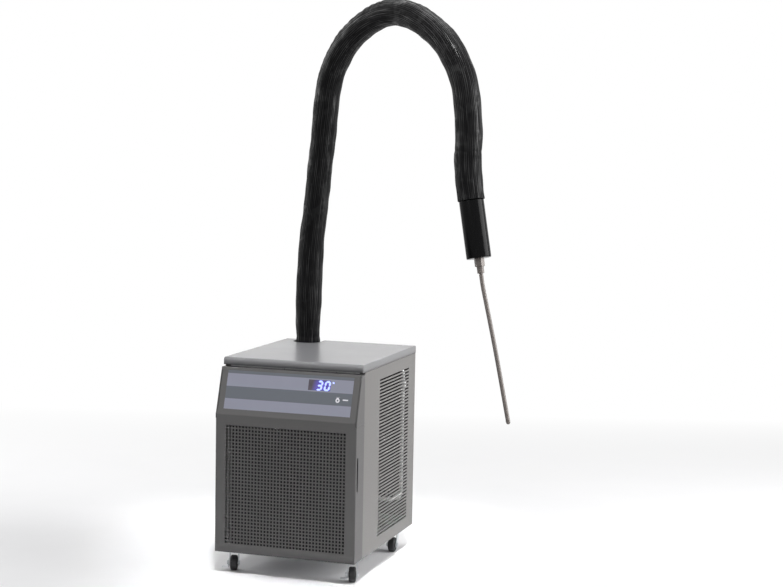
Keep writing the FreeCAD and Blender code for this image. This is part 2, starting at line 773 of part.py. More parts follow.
# condenser: a finned block behind the grille, its return bends, the shroud and the fan
def condenser_core():
    block = box("condenser_block", "condenser_width", "condenser_depth", "condenser_height",
                "0 - condenser_width / 2", CONDENSER_FRONT, PAN_TOP)
    pitch = size("condenser_width") / size("fin_count")
    front = size("sheet") + size("condenser_front") - size("cabinet_depth") / 2
    low = size("caster_height") + size("sheet")
    grooves = []
    for index in range(int(size("fin_count"))):
        middle = (index + 0.5) * pitch - size("condenser_width") / 2
        corner = Vector(middle - size("fin_slot") / 2, front - 1, low - 1)
        grooves.append(Part.makeBox(size("fin_slot"), size("fin_groove") + 1,
                                    size("condenser_height") + 2, corner))
    keep(cut("condenser_core", block, given("fin_cutters", Part.makeCompound(grooves))))


def condenser_bends():
    """Half rings of tube that join the condenser's rows at its right end."""
    major, minor = size("bend_radius"), size("bend_tube")
    x = size("condenser_width") / 2 + size("tube_seat")
    y = size("condenser_front") + size("sheet") + size("condenser_depth") / 2 - size("cabinet_depth") / 2
    low = size("caster_height") + size("sheet")
    step = size("condenser_height") / size("bend_count")
    bends = []
    for index in range(int(size("bend_count"))):
        centre = Vector(x, y, low + (index + 0.5) * step)
        bends.append(Part.makeTorus(major, minor, centre, Y, 0, 360, 360).common(
            Part.makeBox(4 * major, 4 * major, 4 * major, centre + Vector(0, -2 * major, -2 * major))))
    keep(given("condenser_bends", Part.makeCompound(bends)))


def fan_shroud():
    plate = box("shroud_plate", "condenser_width", "shroud_depth", "condenser_height",
                "0 - condenser_width / 2", CONDENSER_BACK + " + panel_fit", PAN_TOP)
    hollow = box("shroud_hollow", "condenser_width - 4 * sheet", "shroud_depth", "condenser_height - 4 * sheet",
                 "2 * sheet - condenser_width / 2", CONDENSER_BACK + " + panel_fit - sheet",
                 PAN_TOP + " + 2 * sheet")
    throat = rod("shroud_throat", "fan_radius + fan_clearance", "3 * shroud_depth", "0",
                 CONDENSER_BACK + " - shroud_depth", FAN_HEIGHT, "Y")
    keep(cut("fan_shroud", plate, hollow, throat))


def fan_motor():
    """Motor can with its shaft, held by a three-armed bracket behind the shroud."""
    can = new_body("motor_body")
    back = SHROUD_BACK + " + panel_fit + sheet"
    face = ring(can, "motor_face", "XZ_Plane", "motor_radius", "0", FAN_HEIGHT, offset="0 - (%s)" % back)
    pad(can, "motor_can", face, "motor_depth", reverse=True)
    round_edges(can, "motor_rim", "5", lambda e: e.CenterOfMass.y > e.BoundBox.YMin - 1 and
                isinstance(e.Curve, Part.Circle) and e.CenterOfMass.y > 0 - size("cabinet_depth") / 2
                + size("sheet") + size("condenser_front") + size("condenser_depth")
                + size("shroud_depth") + 30)
    shaft = rod("motor_shaft_bar", "motor_shaft", "shroud_depth + panel_fit + sheet + 1", "0",
                CONDENSER_BACK + " + panel_fit", FAN_HEIGHT, "Y")
    keep(fuse("fan_motor", can, shaft))

    spider = []
    reach = size("fan_radius") + size("fan_clearance") + 14
    back_value = (size("sheet") + size("condenser_front") + size("condenser_depth") + size("shroud_depth")
                  - size("cabinet_depth") / 2 + size("panel_fit"))
    height = size("caster_height") + size("sheet") + size("condenser_height") / 2
    centre = Vector(0, back_value, height)
    hub = Part.makeCylinder(size("motor_radius") * 0.8, size("sheet"), centre, Y)
    for index in range(3):
        arm = Part.makeBox(size("arm_width"), size("sheet"), reach, Vector(-size("arm_width") / 2, 0, 0))
        arm.rotate(Vector(), Y, 120 * index)
        arm.translate(centre)
        spider.append(arm)
    bore = Part.makeCylinder(size("motor_shaft") + 2, 20, centre - Vector(0, 10, 0), Y)
    keep(given("fan_bracket", hub.multiFuse(spider).removeSplitter().cut(bore)))


def fan_blades():
    """A hub with flat blades set at an angle, trimmed to a circle."""
    middle = (size("sheet") + size("condenser_front") + size("condenser_depth")
              + size("shroud_depth") / 2 + size("panel_fit") - size("cabinet_depth") / 2)
    height = size("caster_height") + size("sheet") + size("condenser_height") / 2
    hub_front = middle - size("hub_depth") / 2
    hub = Part.makeCylinder(size("hub_radius"), size("hub_depth"), Vector(0, hub_front, 0), Y)
    blades = []
    count = int(size("blade_count"))
    for index in range(count):
        blade = Part.makeBox(size("blade_width"), size("blade_thickness"), size("fan_radius") + 20,
                             Vector(-size("blade_width") / 2, -size("blade_thickness") / 2, 0))
        blade.rotate(Vector(), Z, size("blade_angle"))
        blade.translate(Vector(0, middle, 0))
        blade.rotate(Vector(), Y, 360 * index / count)
        blades.append(blade)
    sweep = Part.makeCylinder(size("fan_radius"), size("shroud_depth") - 4,
                              Vector(0, middle - size("shroud_depth") / 2 + 2, 0), Y)
    wheel = hub.multiFuse([blade.common(sweep) for blade in blades])
    bore = Part.makeCylinder(size("motor_shaft") + size("shaft_clearance"), 200, Vector(0, -260, 0), Y)
    wheel = wheel.cut(bore)
    wheel.translate(Vector(0, 0, height))
    keep(given("fan_blades", wheel.removeSplitter()))


# compressor on rubber grommets
def compressor():
    body = new_body("shell_body")
    base = ring(body, "shell_base", "XY_Plane", "shell_radius", "shell_side", "shell_back",
                offset=SHELL_LOW + " + foot_thickness")
    pad(body, "shell_can", base, "shell_height")
    top = (size("caster_height") + size("sheet") + size("grommet_height") + size("foot_thickness")
           + size("shell_height"))
    round_edges(body, "shell_domed", "shell_dome", lambda e: abs(e.CenterOfMass.z - top) < 0.1
                and isinstance(e.Curve, Part.Circle))
    feet = []
    for side in (-1, 1):
        feet.append(box("foot_bar_%s" % ("left" if side < 0 else "right"), "foot_width",
                        "2 * foot_span + foot_width", "foot_thickness",
                        "shell_side + %d * foot_span / 1.6 - foot_width / 2" % side,
                        "shell_back - foot_span - foot_width / 2", SHELL_LOW))
    keep(fuse("compressor", body, *feet))
    grommets, bolts = [], []
    for side in (-1, 1):
        for end in (-1, 1):
            tag = "%d%d" % (side + 2, end + 2)
            x = "shell_side + %d * foot_span / 1.6" % side
            y = "shell_back + %d * foot_span" % end
            grommets.append(rod("grommet" + tag, "grommet_radius", "grommet_height", x, y, PAN_TOP))
            bolts.append(rod("foot_bolt" + tag, "bolt_head", "4", x, y, SHELL_LOW + " + foot_thickness"))
    keep(group("compressor_grommets", *grommets))
    keep(group("compressor_bolts", *bolts))
    cover = box("terminal_block", "terminal_width", "terminal_depth", "terminal_height",
                "shell_side - terminal_width / 2", "shell_back - shell_radius - terminal_depth + 12",
                SHELL_LOW + " + 60")
    room = rod("terminal_room", "shell_radius + 0.2", "300", "shell_side", "shell_back", FLOOR)
    keep(cut("terminal_cover", cover, room))


# insulated heat exchanger, hose bracket and gland
def heat_exchanger():
    body = new_body("exchanger_body")
    back = "(%s - exchanger_depth / 2 - exchanger_gap)" % OUTLET_BACK
    plan = outline(body, "exchanger_plan", "XY_Plane",
                   rectangle(OUTLET_SIDE + " - exchanger_width / 2", OUTLET_SIDE + " + exchanger_width / 2",
                             back + " - exchanger_depth / 2", back + " + exchanger_depth / 2"),
                   offset=PAN_TOP + " + 0.2")
    pad(body, "exchanger_block", plan, GLAND_LOW + " - sheet - 0.4 - " + PAN_TOP)
    round_edges(body, "exchanger_edges", "exchanger_round", lambda e: along(e, Z))
    keep(body, "heat_exchanger")


def hose_mount():
    """A shelf folded from the rear panel that carries the hose's gland, and the gland."""
    shelf = box("shelf_flat", "2 * bracket_reach", "2 * bracket_reach", "sheet",
                OUTLET_SIDE + " - bracket_reach", REAR + " - 2 * sheet - panel_fit - 2 * bracket_reach",
                GLAND_LOW + " - sheet")
    leg = box("shelf_leg", "2 * bracket_reach", "sheet", "40", OUTLET_SIDE + " - bracket_reach",
              REAR + " - 2 * sheet - panel_fit", GLAND_LOW + " - 40")
    keep(fuse("hose_bracket", shelf, leg))
    collar = rod("gland_collar", "hose_radius + 3", "6", OUTLET_SIDE, OUTLET_BACK + " - 2", GLAND_LOW)
    neck = rod("gland_neck", "hose_radius - 2", "gland_height", OUTLET_SIDE, OUTLET_BACK, GLAND_LOW)
    trim = box("gland_trim", "200", "60", "20", OUTLET_SIDE + " - 100",
               REAR + " - 2 * sheet - panel_fit", GLAND_LOW + " - 1")
    keep(cut("hose_gland", fuse("gland_solid", collar, neck), trim))


def route(points, arc_share=0.45):
    """Straight runs joined by tangent arcs: each arc's radius is arc_share of the shorter run over
    the tangent of half the turn. Returns the wire and the list of radii."""
    edges, radii = [], []
    here = points[0]
    for before, corner, after in zip(points, points[1:], points[2:]):
        inward = (before - corner).normalize()
        outward = (after - corner).normalize()
        turn = math.pi - inward.getAngle(outward)
        shorter = min((before - corner).Length, (after - corner).Length)
        radius = arc_share * shorter / math.tan(turn / 2)
        radii.append(radius)
        start = corner + inward * (arc_share * shorter)
        end = corner + outward * (arc_share * shorter)
        bisector = (inward + outward).normalize()
        centre = corner + bisector * math.hypot(radius, arc_share * shorter)
        middle = centre - bisector * radius
        edges.append(Part.LineSegment(here, start).toShape())
        edges.append(Part.Arc(start, middle, end).toShape())
        here = end
    edges.append(Part.LineSegment(here, points[-1]).toShape())
    return Part.Wire(edges), radii


def tube(wire, radius, start, direction):
    """A round solid carried along a wire."""
    section = Part.Wire([Part.Circle(start, direction, radius).toShape()])
    return wire.makePipeShell([section], True, False)


# refrigerant lines inside the cabinet
def bright_tube():
    """Polished suction line that stands behind the right-hand louvres."""
    side, back = size("cabinet_width") / 2 - size("tube_side_inset"), size("tube_back")
    high, low = size("tube_high"), size("tube_low")
    seat = size("tube_seat")
    exchanger_edge = outlet(0).x + size("exchanger_width") / 2 + seat
    exchanger_y = outlet(0).y - size("exchanger_depth") / 2 - size("exchanger_gap")
    shell_edge = size("shell_side") + size("shell_radius") + 6
    points = [
        Vector(exchanger_edge, exchanger_y, high),
        Vector(side, back, high),
        Vector(side, back, low),
        Vector(side, size("shell_back"), low),
        Vector(shell_edge - 6 + seat, size("shell_back"), low),
    ]
    wire, radii = bent(points, 14)
    line = tube(wire, size("tube_radius"), points[0], points[1] - points[0])
    lower = Part.makeCylinder(size("union_radius"), size("union_length"),
                              Vector(side, back - 40, low), Y)
    upper = Part.makeCylinder(size("union_radius"), size("union_length"), Vector(side, back, high - 50), Z)
    keep(given("suction_tube", line.fuse([lower, upper])))


def bent(points, radius):
    """Straight runs with one bend radius at each corner, as a tube bender leaves them."""
    edges, radii = [], []
    here = points[0]
    for before, corner, after in zip(points, points[1:], points[2:]):
        inward = (before - corner).normalize()
        outward = (after - corner).normalize()
        turn = math.pi - inward.getAngle(outward)
        reach = radius * math.tan(turn / 2)
        start, end = corner + inward * reach, corner + outward * reach
        bisector = (inward + outward).normalize()
        centre = corner + bisector * math.hypot(radius, reach)
        edges.append(Part.LineSegment(here, start).toShape())
        edges.append(Part.Arc(start, centre - bisector * radius, end).toShape())
        radii.append(radius)
        here = end
    edges.append(Part.LineSegment(here, points[-1]).toShape())
    return Part.Wire(edges), radii


def discharge_tube():
    """Hot gas line from the compressor's side to the top of the condenser."""
    shell_edge = size("shell_side") - size("shell_radius") - size("tube_seat")
    y_condenser = (size("sheet") + size("condenser_front") + size("condenser_depth") / 2
                   - size("cabinet_depth") / 2)
    height = size("caster_height") + size("sheet") + size("condenser_height") + size("tube_seat")
    level = size("caster_height") + size("sheet") + size("grommet_height") + 120
    above = height + 26
    points = [
        Vector(shell_edge, size("shell_back"), level),
        Vector(shell_edge - 24, size("shell_back"), level),
        Vector(shell_edge - 24, size("shell_back"), above),
        Vector(shell_edge - 24, y_condenser, above),
        Vector(shell_edge - 24, y_condenser, height),
    ]
    wire, radii = bent(points, 11)
    keep(given("discharge_tube", tube(wire, size("tube_radius"), points[0], points[1] - points[0])))


def drier_line():
    """Liquid line with its filter drier, from the condenser's foot to the heat exchanger."""
    y_start = (size("sheet") + size("condenser_front") + size("condenser_depth") + size("shroud_depth")
               + size("panel_fit") + size("tube_seat") - size("cabinet_depth") / 2)
    level = size("caster_height") + size("sheet") + 30
    x = outlet(0).x
    exchanger_face = outlet(0).y - size("exchanger_depth") - size("exchanger_gap") - size("tube_seat")
    drier = Part.makeCylinder(size("drier_radius"), size("drier_length"),
                              Vector(x, exchanger_face - 40 - size("drier_length"), level), Y)
    keep(given("filter_drier", drier))
    before = Part.makeCylinder(size("thin_tube"), exchanger_face - 40 - size("drier_length")
                               - size("tube_seat") - y_start, Vector(x, y_start, level), Y)
    after = Part.makeCylinder(size("thin_tube"), 40 - size("tube_seat"),
                              Vector(x, exchanger_face - 40 + size("tube_seat"), level), Y)
    keep(given("liquid_line", Part.makeCompound([before, after])))


def control_box():
    """Sheet box under the top rail with the power board, the contactor and the start capacitor."""
    y = PANEL_FRONT + " + 2 * sheet + 2 * panel_fit"
    low = LID_LOW + " - 2 * sheet - 2 * panel_fit - box_height"
    shell = box("box_shell", "box_width", "box_depth", "box_height", "0 - box_width / 2", y, low)
    room = box("box_room", "box_width - 2 * sheet", "box_depth", "box_height - 2 * sheet",
               "sheet - box_width / 2", y + " + sheet", low + " + sheet")
    keep(cut("control_box", shell, room))
    keep(box("control_board", "box_width - 2 * sheet - 10", "box_depth - sheet - 12", "board_thickness",
             "sheet + 5 - box_width / 2", y + " + sheet + 6", low + " + sheet + 0.3"))
    keep(box("contactor", "44", "50", "46", "0 - box_width / 2 + 26", y + " + sheet + 14",
             low + " + sheet + 0.3 + board_thickness"))
    keep(rod("start_capacitor", "capacitor_radius", "capacitor_length", "box_width / 2 - 48",
             y + " + sheet + 40", low + " + sheet + 0.3 + board_thickness"))


# casters
def swing(item, x, y, turn):
    """Turns a finished piece about an upright line through x, y."""
    item.Placement = Placement(Vector(), Rotation(Z, 1))
    bind(item, "Placement.Rotation.Angle", turn)
    bind(item, "Placement.Base.x", "%s - (%s * cos(%s) - %s * sin(%s))" % (x, x, turn, y, turn))
    bind(item, "Placement.Base.y", "%s - (%s * sin(%s) + %s * cos(%s))" % (y, x, turn, y, turn))


def caster(tag, side, place, brake):
    """One swivel caster: plate and race, fork, axle, wheel and, at the front, a side brake lever.
    All but the plate are turned together about the kingpin, as the cabinet was last rolled."""
    swivelled = len(kept) + 1
    x = "(cabinet_width / 2 - caster_side_inset)" if side > 0 else "(caster_side_inset - cabinet_width / 2)"
    axle_y = "(%s - trail)" % place
    plate = box("plate_flat_" + tag, "caster_plate", "caster_plate", "plate_thickness",
                x + " - caster_plate / 2", place + " - caster_plate / 2", FLOOR + " - plate_thickness")
    race = rod("plate_race_" + tag, "race_radius", "race_height", x, place,
               FLOOR + " - plate_thickness - race_height")
    pin = rod("plate_pin_" + tag, "kingpin_radius", "6", x, place,
              FLOOR + " - plate_thickness - race_height - 6")
    keep(fuse("caster_plate_" + tag, plate, race, pin))

    crown_top = FLOOR + " - plate_thickness - race_height - race_gap"
    leg_in = "(wheel_width / 2 + side_play)"
    crown = rod("fork_crown_" + tag, "race_radius", "leg_thickness", x, place,
                crown_top + " - leg_thickness")
    bridge = box("fork_bridge_" + tag, "2 * (%s + leg_thickness)" % leg_in, "2 * leg_round + 4",
                 "leg_thickness", "%s - %s - leg_thickness" % (x, leg_in),
                 place + " - leg_round - 2", crown_top + " - leg_thickness")
    legs = []
    for hand in (-1, 1):
        leg = new_body("fork_leg_%s_%s" % (tag, "left" if hand < 0 else "right"))
        offset = "%s %s (%s + leg_thickness / 2)" % (x, "+" if hand > 0 else "-", leg_in)
        flat = outline(leg, leg.Name + "_flat", "YZ_Plane", [
            (place + " - leg_round - 2", crown_top),
            (axle_y + " - leg_round", "wheel_radius"),
            (axle_y + " + leg_round", "wheel_radius"),
            (place + " + leg_round + 2", crown_top),
        ], offset=offset)
        pad(leg, leg.Name + "_plate", flat, "leg_thickness", midplane=True)
        end = ring(leg, leg.Name + "_end", "YZ_Plane", "leg_round", axle_y, "wheel_radius", offset=offset)
        pad(leg, leg.Name + "_round", end, "leg_thickness", midplane=True)
        legs.append(leg)
    pin_hole = rod("fork_hole_" + tag, "kingpin_radius + kingpin_clearance", "30", x, place,
                   crown_top + " - 20")
    axle_hole = rod("fork_axle_hole_" + tag, "axle_radius", "80", x + " - 40", axle_y,
                    "wheel_radius", "X")
    keep(cut("caster_fork_" + tag, fuse("fork_solid_" + tag, crown, bridge, *legs), pin_hole, axle_hole))

    reach = "(wheel_width / 2 + side_play + leg_thickness)"
    left = reach + (" + 2 * lever_gap + leg_thickness" if brake else "")
    shaft = rod("axle_bar_" + tag, "axle_radius", "%s + %s" % (reach, left), "%s - (%s)" % (x, left),
                axle_y, "wheel_radius", "X")
    head = rod("axle_head_" + tag, "nut_radius", "nut_height", "%s + %s" % (x, reach), axle_y,
               "wheel_radius", "X")
    nut = rod("axle_nut_" + tag, "nut_radius", "nut_height", "%s - (%s) - nut_height" % (x, left),
              axle_y, "wheel_radius", "X")
    keep(fuse("caster_axle_" + tag, shaft, head, nut))

    wheel = new_body("wheel_body_" + tag)
    disc = ring(wheel, wheel.Name + "_disc", "YZ_Plane", "wheel_radius", axle_y, "wheel_radius", offset=x)
    pad(wheel, wheel.Name + "_tyre", disc, "wheel_width", midplane=True)
    round_edges(wheel, wheel.Name + "_tread", "tread_round", lambda e: isinstance(e.Curve, Part.Circle))
    bore = ring(wheel, wheel.Name + "_bore_ring", "YZ_Plane", "axle_radius + axle_clearance", axle_y,
                "wheel_radius", offset=x)
    pocket(wheel, wheel.Name + "_bore", bore, "2 * wheel_width", midplane=True)
    keep(wheel, "caster_wheel_" + tag)

    if brake:
        face = "%s - %s - lever_gap - leg_thickness" % (x, reach)
        arm = box("lever_arm_" + tag, "leg_thickness", "lever_width", "lever_drop + leg_round", face,
                  axle_y + " - lever_width / 2", "wheel_radius - lever_drop")
        tab = box("lever_tab_" + tag, "lever_reach", "lever_width", "leg_thickness",
                  "%s + leg_thickness - lever_reach" % face, axle_y + " - lever_width / 2",
                  "wheel_radius - lever_drop")
        hole = rod("lever_hole_" + tag, "axle_radius + axle_clearance", "20", face + " - 8", axle_y,
                   "wheel_radius", "X")
        keep(cut("brake_lever_" + tag, fuse("lever_solid_" + tag, arm, tab), hole))
    for item in kept[swivelled:]:
        swing(item, x, place, "front_swivel" if brake else "rear_swivel")


# hose, handle, fitting and probe, which hang from the arch that the hose makes
HOSE_STEPS = [
    Vector(0.0, 0.0, 0.0),
    Vector(0.0, 0.0, 120.0),
    Vector(7.0, -4.0, 270.0),
    Vector(31.0, -17.0, 436.0),
    Vector(48.0, -26.0, 588.0),
    Vector(64.5, -35.0, 722.0),
    Vector(133.0, -72.5, 814.0),
    Vector(234.0, -127.5, 869.0),
    Vector(324.0, -176.0, 863.0),
    Vector(423.0, -230.0, 806.0),
    Vector(485.5, -263.5, 716.0),
    Vector(503.0, -273.5, 642.0),
    Vector(508.5, -276.2, 558.0),
    Vector(506.3, -275.1, 478.3),
    Vector(519.3, -282.1, 409.9),
]
ROD_KNEE = 30.0
ROD_STEPS = [Vector(597.5, -324.5, 63.5), Vector(640.0, -347.6, -110.2)]


def hose_route():
    """The hose's corner points, counted from the middle of the gland's face."""
    start = outlet(size("caster_height") + size("body_height") - size("outlet_drop"))
    return [start + step for step in HOSE_STEPS]


def hose():
    corners = hose_route()
    wire, radii = route(corners)
    section = math.pi * size("hose_radius") ** 2
    solid = tube(wire, size("hose_radius"), corners[0], corners[1] - corners[0])
    print("hose bend radii, mm:", [round(r) for r in radii])
    print("hose length, mm: %.1f" % wire.Length,
          "volume over section times length: %.4f" % (solid.Volume / (section * wire.Length)))
    keep(given("hose_sleeve", solid))


def aimed(shape, start, direction):
    """Turns a piece drawn up +Z so that it runs from start along direction."""
    shape.Placement = Placement(start, Rotation(Z, direction))
    return shape


def handle_and_probe():
    corners = hose_route()
    start = corners[-1]
    aim = (corners[-1] - corners[-2]).normalize()
    grip = new_body("grip_body")
    circle = ring(grip, "grip_circle", "XY_Plane", "handle_radius")
    pad(grip, "grip_block", circle, "handle_length")
    round_edges(grip, "grip_edges", "3", lambda e: isinstance(e.Curve, Part.Circle))
    grip.Placement = Placement(start, Rotation(Z, aim))
    keep(grip, "probe_handle")

    nut_start = start + aim * size("handle_length")
    hexagon = doc.addObject("Part::Prism", "fitting_hexagon")
    hexagon.Polygon = 6
    bind(hexagon, "Circumradius", "fitting_radius")
    bind(hexagon, "Height", "nut_length")
    bar = Part.makeCylinder(size("fitting_radius"), size("nut_length"))
    rims = [edge for edge in bar.Edges if isinstance(edge.Curve, Part.Circle)]
    turned = given("nut_turned", bar.makeChamfer(size("nut_chamfer_size"), rims))
    nut = doc.addObject("Part::Common", "nut_common")
    nut.Base = hexagon
    nut.Tool = turned
    neck = rod("fitting_neck", "neck_radius", "fitting_length", "0", "0", "0")
    fitting = fuse("probe_fitting", nut, neck)
    fitting.Placement = Placement(nut_start, Rotation(Z, aim))
    keep(fitting)

    rod_start = nut_start + aim * size("fitting_length")
    points = [rod_start, rod_start + aim * ROD_KNEE] + [corners[0] + step for step in ROD_STEPS]
    wire, radii = route(points)
    stem = tube(wire, size("rod_radius"), points[0], points[1] - points[0])
    down = (points[3] - points[2]).normalize()
    cap = Part.makeSphere(size("rod_radius"), points[3], down, 0, 90, 360)
    weld = Part.makeCylinder(size("rod_radius") + size("weld_height"), size("weld_length"),
                             points[3] - down * 2 * size("weld_length"), down)
    keep(given("probe_rod", stem.fuse([cap, weld])))


base_pan()
pan_screws()
side_panel("right_side_panel", 1)
side_panel("left_side_panel", -1)
rear_panel()
mains_inlet()
lid()
lid_edge_trim()
front_cover()
control_panel()
cover_studs()
top_rail()
condenser_core()
condenser_bends()
fan_shroud()
fan_motor()
fan_blades()
compressor()
heat_exchanger()
hose_mount()
bright_tube()
discharge_tube()
drier_line()
control_box()
for tag, side, place, brake in (
    ("front_left", -1, "(caster_front_inset - cabinet_depth / 2)", True),
    ("front_right", 1, "(caster_front_inset - cabinet_depth / 2)", True),
    ("rear_left", -1, "(cabinet_depth / 2 - caster_back_inset)", False),
    ("rear_right", 1, "(cabinet_depth / 2 - caster_back_inset)", False),
):
    caster(tag, side, place, brake)
hose()
handle_and_probe()

doc.recompute()

problems = []
for item in doc.Objects:
    if "Invalid" in item.State or "Error" in item.State:
        problems.append("%s: %s" % (item.Name, item.State))
for item in kept:
    if item.Shape.isNull() or not item.Shape.isValid():
        problems.append("%s: bad shape" % item.Label)
if problems:
    raise RuntimeError("\n".join(problems))

os.makedirs("parts", exist_ok=True)
for item in kept:
    item.Shape.exportStep("parts/%s.step" % item.Label)
print(len(kept), "nodes")
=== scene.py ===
import json
import math

import bmesh
import bpy
import numpy as np
from mathutils import Matrix, Vector


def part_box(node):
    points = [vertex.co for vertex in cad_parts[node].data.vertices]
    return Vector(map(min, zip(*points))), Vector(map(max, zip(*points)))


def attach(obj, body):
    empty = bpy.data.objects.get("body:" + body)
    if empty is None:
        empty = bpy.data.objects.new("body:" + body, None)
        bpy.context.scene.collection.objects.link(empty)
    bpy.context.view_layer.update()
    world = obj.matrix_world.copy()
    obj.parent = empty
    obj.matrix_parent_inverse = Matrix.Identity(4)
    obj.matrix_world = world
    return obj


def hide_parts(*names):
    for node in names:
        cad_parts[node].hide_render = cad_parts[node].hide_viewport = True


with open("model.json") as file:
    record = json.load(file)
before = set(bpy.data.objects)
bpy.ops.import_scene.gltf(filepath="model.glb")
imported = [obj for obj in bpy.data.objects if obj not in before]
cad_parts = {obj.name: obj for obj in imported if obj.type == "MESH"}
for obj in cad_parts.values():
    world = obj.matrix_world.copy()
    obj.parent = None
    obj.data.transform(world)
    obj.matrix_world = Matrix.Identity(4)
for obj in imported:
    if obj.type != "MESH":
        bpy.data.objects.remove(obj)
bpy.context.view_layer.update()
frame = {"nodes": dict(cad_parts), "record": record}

MM = 0.001

# the cabinet's driving sizes, as in the part's source
WIDTH = 365.0
FRONT = -235.5
REAR = 235.5
FLOOR = 57.0
TOP = 534.0
LID_FRONT = -191.5
LID_LOW = 515.0
COVER_TOP = 511.0
KINK = 399.0
SEAM = -177.5
SHEET = 1.5
SLOPE_DEPTH = 36.0
LEAN = SLOPE_DEPTH / (COVER_TOP - KINK)
SECANT = math.hypot(1.0, LEAN)

# how far the casters are swivelled, front and rear, in degrees
SWIVEL = {"front": 18.0, "rear": 4.0}

# the hose's route, as in the part's source
HOSE_ROUTE = [
    (-109.0, 201.5, 524.0),
    (-109.0, 201.5, 644.0),
    (-102.0, 197.5, 794.0),
    (-78.0, 184.5, 960.0),
    (-61.0, 175.5, 1112.0),
    (-44.5, 166.5, 1246.0),
    (24.0, 129.0, 1338.0),
    (125.0, 74.0, 1393.0),
    (215.0, 25.5, 1387.0),
    (314.0, -28.5, 1330.0),
    (376.5, -62.0, 1240.0),
    (394.0, -72.0, 1166.0),
    (399.5, -74.7, 1082.0),
    (397.3, -73.6, 1002.3),
    (410.3, -80.6, 933.9),
]


def unit(vector):
    vector = np.asarray(vector, float)
    return vector / np.linalg.norm(vector)


HANDLE_START = np.array(HOSE_ROUTE[-1])
HANDLE_AIM = unit(np.array(HOSE_ROUTE[-1]) - np.array(HOSE_ROUTE[-2]))
HANDLE_LENGTH = 141.0


# camera

def photographer():
    """Camera at the photograph's place: turned 17.8 degrees, tipped 5.3 down and rolled 1.1."""
    yaw, pitch, roll = (math.radians(a) for a in (17.809, 5.331, 1.072))
    forward = Vector((-math.sin(yaw) * math.cos(pitch), math.cos(yaw) * math.cos(pitch), -math.sin(pitch)))
    level = Vector((math.cos(yaw), math.sin(yaw), 0.0))
    upright = level.cross(forward)
    right = level * math.cos(roll) + upright * math.sin(roll)
    up = upright * math.cos(roll) - level * math.sin(roll)
    lens = bpy.data.cameras.new("photographer")
    lens.lens = 78.13
    lens.sensor_width = 36.0
    lens.clip_end = 60.0
    camera = bpy.data.objects.new("photographer", lens)
    bpy.context.scene.collection.objects.link(camera)
    turn = Matrix((right, up, -forward)).transposed().to_4x4()
    camera.matrix_world = Matrix.Translation((1.4796, -4.0211, 1.0862)) @ turn
    bpy.context.scene.camera = camera
    return camera


# meshes from numpy grids

class Skin:
    """Gathers grids of points and writes them as one mesh, welded where they meet."""

    def __init__(self):
        self.points, self.faces, self.maps, self.count = [], [], [], 0

    def grid(self, rows, out=None, around=False, uv=None):
        """Quads between the neighbours of a (rows, columns, 3) array, facing out."""
        rows = np.asarray(rows, float)
        n, m = rows.shape[:2]
        index = np.arange(n * m).reshape(n, m)
        if around:
            index = np.concatenate([index, index[:, :1]], axis=1)
        quads = np.stack([index[:-1, :-1], index[:-1, 1:], index[1:, 1:], index[1:, :-1]], axis=-1)
        quads = quads.reshape(-1, 4)
        flat = rows.reshape(-1, 3)
        if out is not None:
            corner = flat[quads]
            facing = np.cross(corner[:, 2] - corner[:, 0], corner[:, 3] - corner[:, 1]).sum(axis=0)
            if facing @ np.asarray(out, float) < 0:
                quads = quads[:, ::-1]
        self.points.append(flat)
        self.faces += (quads + self.count).tolist()
        self.maps.append(np.zeros((len(flat), 2)) if uv is None else np.asarray(uv, float).reshape(-1, 2))
        self.count += len(flat)

    def tile(self, ring, inner, places, out):
        """The strip between two loops of equal length, copied to each place."""
        count = len(ring)
        both = np.concatenate([ring, inner])
        nearest = np.arange(count)
        after = (nearest + 1) % count
        strip = np.stack([nearest, after, after + count, nearest + count], axis=-1)
        corner = both[strip]
        facing = np.cross(corner[:, 2] - corner[:, 0], corner[:, 3] - corner[:, 1]).sum(axis=0)
        if facing @ np.asarray(out, float) < 0:
            strip = strip[:, ::-1]
        flat = (places[:, None, :] + both[None, :, :]).reshape(-1, 3)
        steps = np.arange(len(places))[:, None, None] * len(both)
        self.points.append(flat)
        self.faces += (strip[None, :, :] + steps + self.count).reshape(-1, 4).tolist()
        self.maps.append(np.zeros((len(flat), 2)))
        self.count += len(flat)

    def build(self, name, body, finish, stands_for=(), thickness=None, angle=35.0, closed=False,
              flat=(0.0, 0.0, 0.0)):
        """One object from all the grids, in metres; a skin gets its thickness inwards. Faces square to
        the flat direction are shaded flat."""
        mesh = bpy.data.meshes.new(name)
        points = np.concatenate(self.points) * MM
        mesh.from_pydata(points.tolist(), [], self.faces)
        layer = mesh.uv_layers.new(name="run")
        loops = np.empty(len(mesh.loops), dtype=np.int32)
        mesh.loops.foreach_get("vertex_index", loops)
        layer.data.foreach_set("uv", np.concatenate(self.maps)[loops].ravel())
        work = bmesh.new()
        work.from_mesh(mesh)
        bmesh.ops.remove_doubles(work, verts=work.verts, dist=2e-6)
        if closed:
            bmesh.ops.recalc_face_normals(work, faces=work.faces)
        work.to_mesh(mesh)
        work.free()
        facing = np.empty(len(mesh.polygons) * 3)
        mesh.polygons.foreach_get("normal", facing)
        mesh.polygons.foreach_set("use_smooth", facing.reshape(-1, 3) @ np.asarray(flat) < 0.9999)
        mesh.set_sharp_from_angle(angle=math.radians(angle))
        piece = bpy.data.objects.new(name, mesh)
        bpy.context.scene.collection.objects.link(piece)
        mesh.materials.append(finish)
        if thickness:
            wall = piece.modifiers.new("wall", "SOLIDIFY")
            wall.thickness = thickness * MM
            wall.offset = -1.0
            wall.use_even_offset = True
        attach(piece, body)
        if stands_for:
            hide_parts(*stands_for)
        return piece


